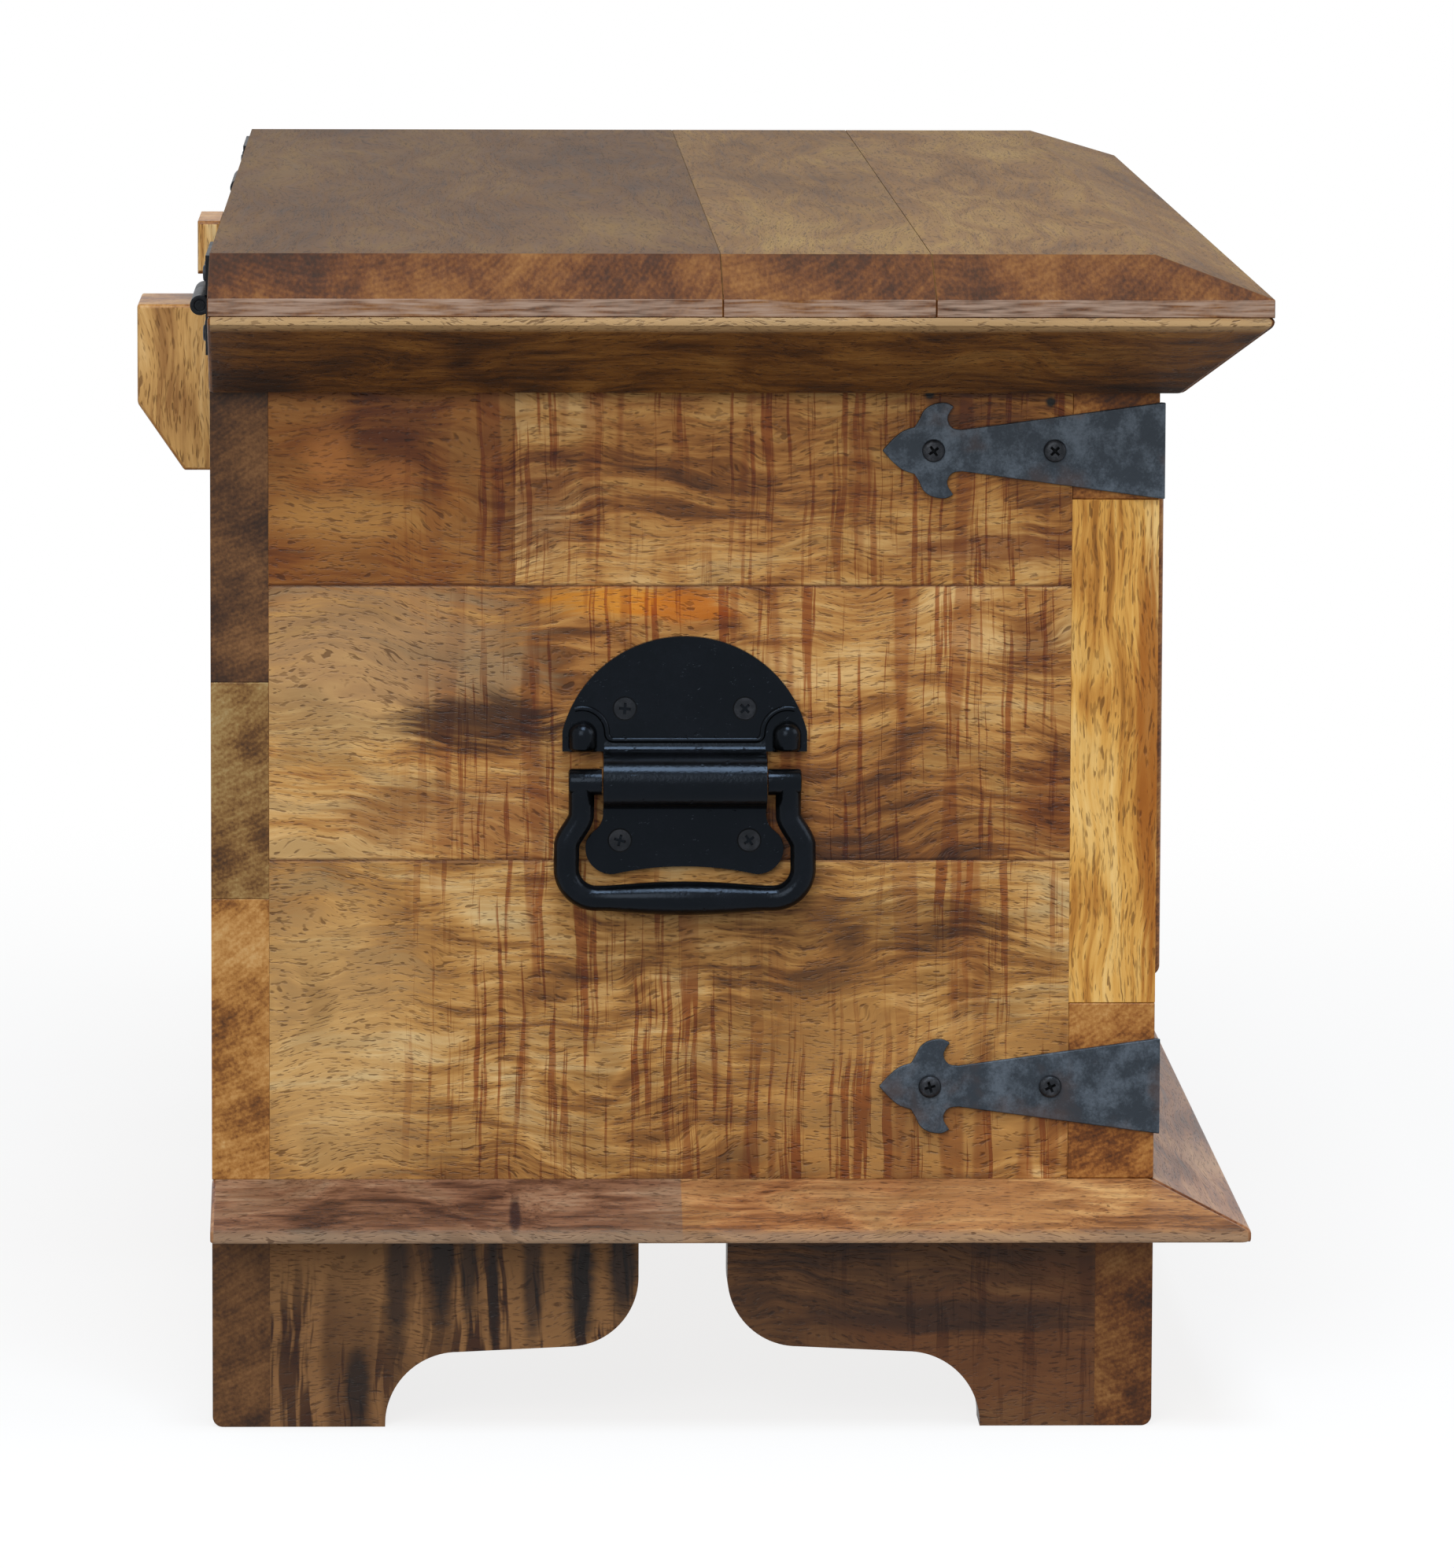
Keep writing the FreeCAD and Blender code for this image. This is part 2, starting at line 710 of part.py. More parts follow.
for hand in (-1, 1):
    middle = f"{hand} * boss_at"
    crown = "ear_level + boss_length"
    trace(bosses, [
        handle_point(f"{middle} - boss_radius", "ear_level"),
        handle_point(f"{middle} + boss_radius", "ear_level"),
        handle_point(f"{middle} + boss_radius", f"{crown} - boss_radius"), handle_point(middle, crown),
        handle_point(f"{middle} - boss_radius", f"{crown} - boss_radius"),
    ], {2: ("boss_radius", 1), 3: ("boss_radius", 1)})
pad(plate, bosses, "boss_reach", reverse=True)
boss_face = value(f"{wall} - boss_reach")
dress_edges(plate, "Chamfer", "boss_chamfer", lambda point: near(point.x, boss_face))
barrel = sketch_on(plate, "XZ_Plane", f"{handle_y} + barrel_half")
pivot_x = f"({wall} - pivot_standoff)"
trace(barrel, [
    (wall, f"{handle_z} + barrel_radius"), (pivot_x, f"{handle_z} + barrel_radius"),
    (f"{pivot_x} - barrel_radius", handle_z), (pivot_x, f"{handle_z} - barrel_radius"),
    (wall, f"{handle_z} - barrel_radius"),
], {1: ("barrel_radius", 1), 2: ("barrel_radius", 1)})
pad(plate, barrel, "2 * barrel_half")
bore = sketch_on(plate, "XZ_Plane")
trace_circle(bore, pivot_x, handle_z, "stub_radius + running_fit")
pocket_through(plate, bore)
mirror(plate, "handle_plate_right")

# The bail's bar runs through many-sided sections; these counts are round enough at its size
bail_sides = 16
corner_bends = 6
grip_bends = 3
pivot = Vector(value(pivot_x), value(handle_y), value(handle_z))


def bail_arm():
    """Centre, direction and radius of the bar's sections from a collar to the swell of the grip."""
    bar = value("bail_radius")
    down = Vector(0, 0, -1)
    inward = Vector(0, -1, 0)
    knee = Vector(0, value("arm_half"), value("-arm_drop"))
    elbow = Vector(0, value("elbow_half"), value("-elbow_drop"))
    lean = ((elbow - knee).normalize() + down) / 2
    sections = [(Vector(0, knee.y, 0), down, bar), (knee, lean, bar), (elbow, lean, bar)]
    hub = Vector(0, value("elbow_half - corner_radius"), value("corner_radius - grip_drop"))
    for bend in range(corner_bends + 1):
        turn = math.pi / 2 * bend / corner_bends
        outward = down * math.sin(turn) - inward * math.cos(turn)
        heading = down * math.cos(turn) + inward * math.sin(turn)
        sections.append((hub + outward * value("corner_radius"), heading, bar))
    for bend in range(grip_bends):
        reach = 1 - bend / grip_bends
        swell = value("grip_radius - bail_radius") * (1 - reach ** 2)
        centre = Vector(0, value("grip_half") * reach, value("-grip_drop"))
        sections.append((centre, inward, bar + swell))
    return sections


def bail_ring(centre, heading, radius):
    """Corners of a section; at a mitre the heading is the mean of two, so the section is stretched."""
    across = Vector(0, -heading.z, heading.y) / heading.Length ** 2
    corners = []
    for side in range(bail_sides):
        turn = 2 * math.pi * side / bail_sides
        spoke = Vector(math.cos(turn), 0, 0) + across * math.sin(turn)
        corners.append(pivot + centre + spoke * radius)
    return corners


def flat_face(corners):
    return Part.Face(Part.makePolygon([*corners, corners[0]]))


def bail_bar(sections):
    """A solid with flats between neighbouring sections."""
    rings = [bail_ring(*section) for section in sections]
    faces = [flat_face(rings[0]), flat_face(rings[-1])]
    for here, there in zip(rings, rings[1:]):
        for side in range(bail_sides):
            after = (side + 1) % bail_sides
            faces.append(flat_face([here[side], here[after], there[after], there[side]]))
    shell = Part.makeShell(faces)
    shell.sewShape()
    return Part.makeSolid(shell)


front_arm = bail_arm()
back_arm = [(Vector(0, -at.y, at.z), Vector(0, way.y, -way.z), size) for at, way, size in reversed(front_arm)]
grip_middle = (Vector(0, 0, value("-grip_drop")), Vector(0, -1, 0), value("grip_radius"))
bar = doc.addObject("Part::Feature", "bar")
bar.Shape = bail_bar([*front_arm, grip_middle, *back_arm])
bail_parts = [bar]
for hand in (-1, 1):
    inward = Vector(0, -hand, 0)
    collar_start = (pivot_x, f"{handle_y} + {hand} * (arm_half + bail_radius)", handle_z)
    collar_length = "arm_half + bail_radius - barrel_half - collar_play"
    bail_parts.append(rod("collar_radius", collar_start, inward, collar_length))
    stub_start = (pivot_x, f"{handle_y} + {hand} * arm_half", handle_z)
    bail_parts.append(rod("stub_radius", stub_start, inward, "arm_half - barrel_half + stub_depth"))
bail = keep(fuse(bail_parts), "handle_bail_left")
mirror(bail, "handle_bail_right")

doc.recompute()
for item in doc.Objects:
    if "Invalid" in item.State or "Error" in item.State:
        raise RuntimeError(f"{item.Name} ({item.Label}) failed: {item.State}")
for item in pieces:
    if item.Shape.isNull() or not item.Shape.isValid():
        raise RuntimeError(f"{item.Label} has no valid shape")

os.makedirs("parts", exist_ok=True)
for item in pieces:
    item.Shape.exportStep(f"parts/{item.Label}.step")
print(len(pieces), "pieces written")
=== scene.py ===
import math
import bmesh
import bpy
from mathutils import Matrix, Vector


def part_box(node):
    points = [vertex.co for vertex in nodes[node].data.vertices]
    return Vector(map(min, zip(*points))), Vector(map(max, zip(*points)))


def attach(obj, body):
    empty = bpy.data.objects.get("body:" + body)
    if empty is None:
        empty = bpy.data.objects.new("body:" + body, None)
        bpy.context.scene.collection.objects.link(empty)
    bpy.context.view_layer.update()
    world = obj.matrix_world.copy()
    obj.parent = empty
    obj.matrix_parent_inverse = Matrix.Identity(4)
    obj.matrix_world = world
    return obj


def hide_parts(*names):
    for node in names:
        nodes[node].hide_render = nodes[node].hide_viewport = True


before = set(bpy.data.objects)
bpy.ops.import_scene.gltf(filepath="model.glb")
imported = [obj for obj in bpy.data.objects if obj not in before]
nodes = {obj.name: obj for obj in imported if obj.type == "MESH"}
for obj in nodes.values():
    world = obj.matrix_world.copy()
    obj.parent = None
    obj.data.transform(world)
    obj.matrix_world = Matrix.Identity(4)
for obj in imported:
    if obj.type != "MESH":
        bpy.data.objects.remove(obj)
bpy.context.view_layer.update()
scene = bpy.context.scene
mm = 0.001
print("frame loaded")


# A shader value that takes part in Python expressions
class Wire:
    def __init__(self, graph, socket):
        self.graph = graph
        self.socket = socket

    def __add__(self, other):
        return self.graph.maths("ADD", self, other)

    def __sub__(self, other):
        return self.graph.maths("SUBTRACT", self, other)

    def __rsub__(self, other):
        return self.graph.maths("SUBTRACT", other, self)

    def __mul__(self, other):
        return self.graph.maths("MULTIPLY", self, other)

    def __truediv__(self, other):
        return self.graph.maths("DIVIDE", self, other)

    def __pow__(self, other):
        return self.graph.maths("POWER", self, other)

    def __abs__(self):
        return self.graph.maths("ABSOLUTE", self)

    __radd__ = __add__
    __rmul__ = __mul__


# A node tree and the few ways in which its nodes are made
class Graph:
    def __init__(self, tree):
        self.tree = tree

    def plug(self, slot, value):
        if isinstance(value, Wire):
            self.tree.links.new(value.socket, slot)
        else:
            slot.default_value = value

    def node(self, kind, settings=None, inputs=None, output=0):
        made = self.tree.nodes.new("ShaderNode" + kind)
        for key, value in (settings or {}).items():
            setattr(made, key, value)
        for key, value in (inputs or {}).items():
            self.plug(made.inputs[key], value)
        return Wire(self, made.outputs[output])

    def maths(self, operation, *values):
        return self.node("Math", {"operation": operation}, dict(enumerate(values)))

    def parts(self, vector):
        return [self.node("SeparateXYZ", {}, {0: vector}, axis) for axis in range(3)]

    def place(self):
        return self.parts(self.node("TexCoord", output="Object"))

    def facing(self):
        return self.parts(self.node("TexCoord", output="Normal"))

    def join(self, *parts):
        return self.node("CombineXYZ", {}, dict(enumerate(parts)))

    def noise(self, vector, scale=1.0, detail=2.0, roughness=0.5):
        return self.node("TexNoise", {}, {
            "Vector": vector, "Scale": scale, "Detail": detail, "Roughness": roughness,
        })

    def rise(self, value, low, high):
        return self.node("MapRange", {"interpolation_type": "SMOOTHSTEP"}, {
            "Value": value, "From Min": low, "From Max": high,
        })

    def mix(self, factor, first, second, blend="MIX"):
        settings = {"data_type": "RGBA", "blend_type": blend}
        return self.node("Mix", settings, {0: factor, 6: first, 7: second}, 2)  # the colour sockets

    def ramp(self, factor, stops):
        shade = self.node("ValToRGB", {}, {0: factor})
        elements = shade.socket.node.color_ramp.elements
        for number, (place, level) in enumerate(stops):
            element = elements[number] if number < 2 else elements.new(place)
            element.position = place
            element.color = level
        return shade

    def seenRays(self):
        kinds = ("Camera", "Glossy", "Transmission")
        seen = [self.node("LightPath", output=f"Is {kind} Ray") for kind in kinds]
        return self.maths("MINIMUM", seen[0] + seen[1] + seen[2], 1)


class Shader(Graph):
    def __init__(self, name):
        self.material = bpy.data.materials.new(name)
        self.material.use_nodes = True
        super().__init__(self.material.node_tree)
        self.surface = self.tree.nodes["Principled BSDF"]

    def finish(self, **sockets):
        for name, value in sockets.items():
            self.plug(self.surface.inputs[name.replace("_", " ")], value)
        return self.material


# Linear colour from the usual eight-bit levels
def colour(*levels):
    return (*(((level / 255 + 0.055) / 1.055) ** 2.4 for level in levels), 1)


# Wood: the five shades of each palette run from dark to light
palettes = {
    "golden": [(70, 40, 19), (118, 72, 32), (160, 108, 54), (186, 138, 77), (210, 170, 112)],
    "honey": [(84, 52, 26), (136, 90, 43), (176, 128, 68), (198, 154, 94), (218, 186, 132)],
    "amber": [(112, 66, 20), (176, 118, 48), (210, 156, 76), (224, 178, 102), (236, 200, 134)],
    "lid": [(48, 27, 14), (84, 50, 25), (118, 76, 40), (146, 104, 60), (176, 136, 88)],
    "bronze": [(38, 20, 8), (70, 40, 14), (99, 60, 22), (124, 81, 34), (152, 108, 54)],
    "rose": [(60, 34, 24), (104, 65, 43), (138, 93, 64), (160, 117, 84), (186, 146, 110)],
    "umber": [(34, 21, 14), (60, 39, 24), (86, 59, 37), (112, 80, 50), (142, 106, 70)],
    "cocoa": [(36, 20, 11), (58, 36, 21), (82, 53, 31), (104, 70, 42), (130, 92, 58)],
}
shadePlaces = (0.32, 0.42, 0.5, 0.58, 0.7)  # where the shades lie on the ramp
middleTone = 0.5  # the middle of a noise and of the ramp
grainAxes = {"X": (0, 1, 2), "Y": (1, 2, 0), "Z": (2, 1, 0)}  # along, across and deep
# Noise in the wood: scales along and across the grain, a shift of its own, detail and roughness
woodFields = {
    "drift": (7, 12, 3, 3, 0.55), "patches": (7, 16, 17, 3, 0.55), "fine": (30, 340, 7, 4, 0.65),
    "bands": (8, 18, 11, 2, 0.55), "veins": (6, 10, 29, 3, 0.55), "dashes": (210, 930, 53, 1, 0.55),
    "pores": (260, 1250, 57, 1, 0.55), "sawn": (9, 8, 61, 3, 0.55),
}
# Pairs are where a mask begins and where it is full
woodLook = {
    "stretch": {"X": 2.4, "Y": 1, "Z": 1.5}, "seedStep": 3.7, "bend": 0.06, "bandTurns": 42,
    "patchShare": 0.68, "fineShare": 0.5, "bandShare": 0.055, "toneLevel": 0.575,
    "stainEdge": (0.45, 1.15), "patchRag": 2.4, "fineRag": 1.6,
    "veinBand": (0.1, 1.0), "veinPlace": (0.42, 0.6), "vein": (0.6, 0.57, 0.54, 1),
    "dash": (0.62, 0.72), "speck": (0.56, 0.7), "speckShare": 0.65,
    "poreShare": 0.7, "pore": (0.2, 0.14, 0.11, 1),
    "seam": (0.0002, 0.0011), "seamRag": 0.001, "seamShare": 0.7, "filler": (0.3, 0.2, 0.22, 1),
    "fineHeight": 0.3, "kerfHeight": 0.7, "relief": 0.0005, "bump": 0.5,
    "roughSpread": 0.24, "coatShare": 0.2, "coatRoughness": 0.28,
}
kerfLook = {
    "level": 0.53, "soft": 0.08, "wander": 2, "thinAcross": 9, "thinNoise": (1.0, 3.0, 0.7),
    "broadPitch": 0.32, "broadAcross": 6, "broadShift": 9, "broadNoise": (1.0, 2.0, 0.6),
    "broadStep": 0.03, "broadShare": 0.7, "sawn": (0.36, 0.54), "fade": 50,
}
endLook = {
    "turn": (0.12, 0.34), "pith": (0.05, 0.1), "ringPitches": (1100, 3300), "ringShares": (0.018, 0.016),
    "ringSway": 16, "cloudScale": 34, "cloudNoise": (1.0, 3.0, 0.6), "cloudShare": 0.72,
    "speckleScale": 700, "speckleNoise": (1.0, 2.0, 0.6), "speckleShare": 0.3, "toneLevel": 0.51,
    "tint": (0.84, 0.74, 0.64, 1),
}
paleEndLook = {"turn": (0.9, 0.98), "streak": (0.2, 0.75), "across": 60, "deep": 800, "noise": (1.0, 3.0)}


class Board(Shader):
    def __init__(self, name, grain, seed):
        super().__init__(name)
        low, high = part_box(name)
        axes = grainAxes[grain]
        place = self.place()
        self.along, self.across, self.deep = (place[axis] for axis in axes)
        self.middle = [(low[axis] + high[axis]) / 2 for axis in axes]
        self.endTurn = abs(self.facing()[axes[0]])
        self.endFace = self.rise(self.endTurn, *endLook["turn"])
        self.stretch = woodLook["stretch"][grain]
        self.seed = seed * woodLook["seedStep"]
        self.bent = self.across
        self.drift = self.field("drift") - middleTone
        self.bent = self.across + self.drift * woodLook["bend"]

    def field(self, name):
        alongScale, acrossScale, shift, detail, roughness = woodFields[name]
        return self.noise(self.join(
            self.along * (alongScale / self.stretch) + (self.seed + shift), self.bent * acrossScale,
            self.deep * acrossScale,
        ), 1.0, detail, roughness)

    # One length of a board in a tint: the wood's own tone on most boards, painted light on the case stop and
    # a painted reflection on the lid
    def tintAndLightStave(self, shade, start, end, tint):
        after = self.maths("GREATER_THAN", self.along, start * mm)
        before = self.maths("LESS_THAN", self.along, end * mm)
        return self.mix(after * before, shade, tint, "MULTIPLY")

    # A stain or patch; rough is the noise's share in its edge
    def spot(self, shade, ragged, at, size, tint, strength=0.8, blend="MIX", rough=1.0):
        reach = [((axis - middle * mm) / (wide * mm)) ** 2 for axis, middle, wide in
                 zip((self.along, self.across), at, size)]
        edge = (reach[0] + reach[1]) ** 0.5 + ragged * rough
        return self.mix((1 - self.rise(edge, *woodLook["stainEdge"])) * strength, shade, tint, blend)

    # Marks of the saw, square to the grain, up to a limit along the board
    def kerfs(self, pitch, until, level=kerfLook["level"]):
        look = kerfLook
        thinPlace = self.join(
            self.along * pitch + self.drift * look["wander"], self.across * look["thinAcross"], self.seed,
        )
        broadPlace = self.join(
            self.along * pitch * look["broadPitch"], self.across * look["broadAcross"],
            self.seed + look["broadShift"],
        )
        thin = self.rise(self.noise(thinPlace, *look["thinNoise"]), level, level + look["soft"])
        start = level + look["broadStep"]
        broad = self.rise(self.noise(broadPlace, *look["broadNoise"]), start, start + look["soft"])
        sawn = self.rise(self.field("sawn"), *look["sawn"])
        inside = self.rise(self.along, until * mm, (until - look["fade"]) * mm)
        return self.maths("MAXIMUM", thin, broad * look["broadShare"]) * (sawn * inside)

    # Growth rings on the faces that cut the grain
    def endShade(self, stops, contrast, tint):
        look = endLook
        aside = self.across - (self.middle[1] + look["pith"][0])
        above = self.deep - (self.middle[2] + look["pith"][1])
        rings = (aside ** 2 + above ** 2) ** 0.5
        clouds, speckle = (self.noise(self.join(
            self.across * look[name + "Scale"], self.deep * look[name + "Scale"], self.seed,
        ), *look[name + "Noise"]) for name in ("cloud", "speckle"))
        sway = clouds * look["ringSway"]
        arcs = [self.maths("SINE", rings * pitch + sway) for pitch in look["ringPitches"]]
        tone = arcs[0] * look["ringShares"][0] + arcs[1] * look["ringShares"][1]
        tone = tone + speckle * look["speckleShare"] + clouds * look["cloudShare"] - look["toneLevel"]
        return self.mix(1.0, self.ramp(tone * contrast + middleTone, stops), tint, "MULTIPLY")

    # Pale streaks on a board's square end
    def paleEnd(self, shade, tint):
        place = self.join(self.across * paleEndLook["across"], self.deep * paleEndLook["deep"], self.seed)
        streaks = self.rise(self.noise(place, *paleEndLook["noise"]), *paleEndLook["streak"])
        return self.mix(self.rise(self.endTurn, *paleEndLook["turn"]) * streaks, shade, tint)

    def paint(self, palette, spalt=0.7, contrast=1.0, kerf=None, spots=(), tintAndLightStaves=(), seams=(), edge=None,
              endTint=endLook["tint"], endContrast=1.0, roughness=0.42, shine=0.2):
        look = woodLook
        stops = [(at, colour(*level)) for at, level in zip(shadePlaces, palettes[palette])]
        patches = self.field("patches")
        fine = self.field("fine")
        bands = self.maths("SINE", self.field("bands") * look["bandTurns"])
        ragged = (patches - middleTone) * look["patchRag"] + (fine - middleTone) * look["fineRag"]
        tone = patches * look["patchShare"] + fine * look["fineShare"] + bands * look["bandShare"]
        shade = self.ramp((tone - look["toneLevel"]) * contrast + middleTone, stops)
        for tintAndLightStave in tintAndLightStaves:
            shade = self.tintAndLightStave(shade, *tintAndLightStave)
        for spot in spots:
            shade = self.spot(shade, ragged, **spot)
        vein = self.rise(bands, *look["veinBand"]) * self.rise(self.field("veins"), *look["veinPlace"])
        shade = self.mix(vein * spalt, shade, look["vein"], "MULTIPLY")
        specks = self.rise(self.field("pores"), *look["speck"]) * look["speckShare"]
        pores = self.maths("MAXIMUM", self.rise(self.field("dashes"), *look["dash"]), specks)
        shade = self.mix(pores * look["poreShare"], shade, look["pore"], "MULTIPLY")
        height = fine * look["fineHeight"] - pores
        if kerf:
            cuts = self.kerfs(**kerf["cut"])
            shade = self.mix(cuts, shade, kerf["tint"], "MULTIPLY")
            height = height - cuts * look["kerfHeight"]
        for seam in seams:
            aside = abs(self.across - seam * mm) + (fine - middleTone) * look["seamRag"]
            line = 1 - self.rise(aside, *look["seam"])
            shade = self.mix(line * look["seamShare"], shade, look["filler"], "MULTIPLY")
            height = height - line
        shade = self.mix(self.endFace, shade, self.endShade(stops, endContrast, endTint))
        if edge:
            shade = self.paleEnd(shade, edge)
        bump = self.node("Bump", {}, {
            "Strength": look["bump"], "Distance": look["relief"], "Height": height * (1 - self.endFace),
        })
        spread = look["roughSpread"]
        return self.finish(
            Base_Color=shade, Roughness=fine * spread + (roughness - spread / 2), Normal=bump,
            Specular_IOR_Level=shine, Coat_Weight=shine * look["coatShare"],
            Coat_Roughness=look["coatRoughness"],
        )


# Iron: a dark body with a mottled patina and small pits, some of it rusted
ironLook = {
    "cloudNoise": (5.0, 0.65), "noise": (3.0, 0.6), "gritScale": 14, "pitScale": 5, "rustScale": 0.45,
    "cloudShare": 0.75, "gritShare": 0.25, "patina": (0.42, 0.66), "pits": (0.62, 0.72),
    "rusted": (0.5, 0.68), "rust": colour(74, 58, 52), "gritHeight": 0.5, "relief": 0.0003, "bump": 0.45,
    "roughSpread": 0.3,
}
ironKinds = {
    "blackIron": {"dark": (5, 6, 7), "light": (10, 11, 14), "seed": 1, "roughness": 0.2, "metallic": 0.0,
                  "mottle": 60, "pit": 0.8, "specular": 0.15, "gloss": (0.6, 0.76, 1, 1)},
    "strapIron": {"dark": (44, 50, 57), "light": (80, 89, 99), "seed": 2, "roughness": 0.46, "metallic": 0.35,
                  "mottle": 80, "pit": 0.5, "rust": 0.55},
    "hingeSteel": {"dark": (12, 12, 14), "light": (30, 31, 34), "seed": 3, "roughness": 0.45, "metallic": 0.2,
                   "mottle": 80, "pit": 0.3, "specular": 0.2},
    "screwSteel": {"dark": (26, 27, 30), "light": (60, 62, 67), "seed": 4, "roughness": 0.4, "metallic": 0.4},
    "plateScrewSteel": {"dark": (20, 21, 24), "light": (44, 45, 49), "seed": 6, "roughness": 0.42,
                        "metallic": 0.3, "specular": 0.25},
    # The recess material is near-black: painted shade in the screws' cross recesses and countersink rims
    "recessPaintedShade": {"dark": (5, 5, 6), "light": (10, 10, 11), "seed": 5, "roughness": 0.6, "metallic": 0.0,
                   "specular": 0.1},
}


def iron(name, dark, light, seed, roughness, metallic, mottle=200, pit=0.2, specular=0.3, rust=0.0,
         gloss=(0.78, 0.88, 1, 1)):
    look = ironLook
    shader = Shader(name)
    place = shader.join(*shader.place())
    clouds = shader.noise(place, mottle, *look["cloudNoise"])
    grit = shader.noise(place, mottle * look["gritScale"], *look["noise"])
    pits = shader.rise(shader.noise(place, mottle * look["pitScale"] + seed, *look["noise"]), *look["pits"])
    patina = shader.rise(clouds * look["cloudShare"] + grit * look["gritShare"], *look["patina"])
    shade = shader.mix(patina, colour(*dark), colour(*light))
    if rust:
        bloom = shader.noise(place, mottle * look["rustScale"] + seed, *look["noise"])
        shade = shader.mix(shader.rise(bloom, *look["rusted"]) * rust, shade, look["rust"])
    bump = shader.node("Bump", {}, {
        "Strength": look["bump"], "Distance": look["relief"],
        "Height": grit * look["gritHeight"] + clouds - pits * pit,
    })
    spread = look["roughSpread"]
    return shader.finish(
        Base_Color=shade, Roughness=clouds * spread + (roughness - spread / 2), Normal=bump,
        Metallic=metallic, Specular_IOR_Level=specular, Specular_Tint=gloss,
    )


irons = {name: iron(name, **kind) for name, kind in ironKinds.items()}

# The boards by shade and grain, in the order that gives each its own figure
boardGroups = [
    ("lid", "X", "lid_back_board lid_middle_board lid_front_board"),
    ("honey", "Z", "lid_stop"),
    ("bronze", "Y", "skirt_left skirt_right"),
    ("bronze", "X", "skirt_front"),
    ("golden", "Y", "left_end_top_plank left_end_middle_plank right_end_top_plank right_end_bottom_plank"),
    ("honey", "Y", "left_end_bottom_plank right_end_middle_plank bottom_bearer"),
    ("honey", "Y", "lid_batten_left lid_batten_right"),
    ("umber", "X", "back_top_plank foot_back_left_back foot_back_right_back"),
    ("golden", "X", "back_middle_plank front_top_rail front_bottom_rail front_panel_left front_panel_right"),
    ("honey", "X", "back_bottom_plank front_panel_middle bottom_panel"),
    ("honey", "Z", "case_stop"),
    ("amber", "Z", "front_stile_left front_stile_right"),
    ("golden", "Z", "front_muntin_left front_muntin_right foot_glue_blocks"),
    ("rose", "Y", "plinth_left plinth_right"),
    ("rose", "X", "plinth_front plinth_back"),
    ("lid", "Y", "foot_back_left_end foot_front_right_end"),
    ("cocoa", "Y", "foot_front_left_end foot_back_right_end"),
    ("lid", "X", "foot_front_left_front foot_front_right_front"),
]
planks = {"kerf": {"cut": {"pitch": 260, "until": 130}, "tint": (0.54, 0.32, 0.22, 1)}, "seams": (219, 324)}
lidBoards = {"contrast": 0.42, "roughness": 0.6, "shine": 0.12, "spalt": 0.3, "edge": colour(164, 138, 120),
             "endTint": (0.6, 0.46, 0.31, 1), "endContrast": 0.95}
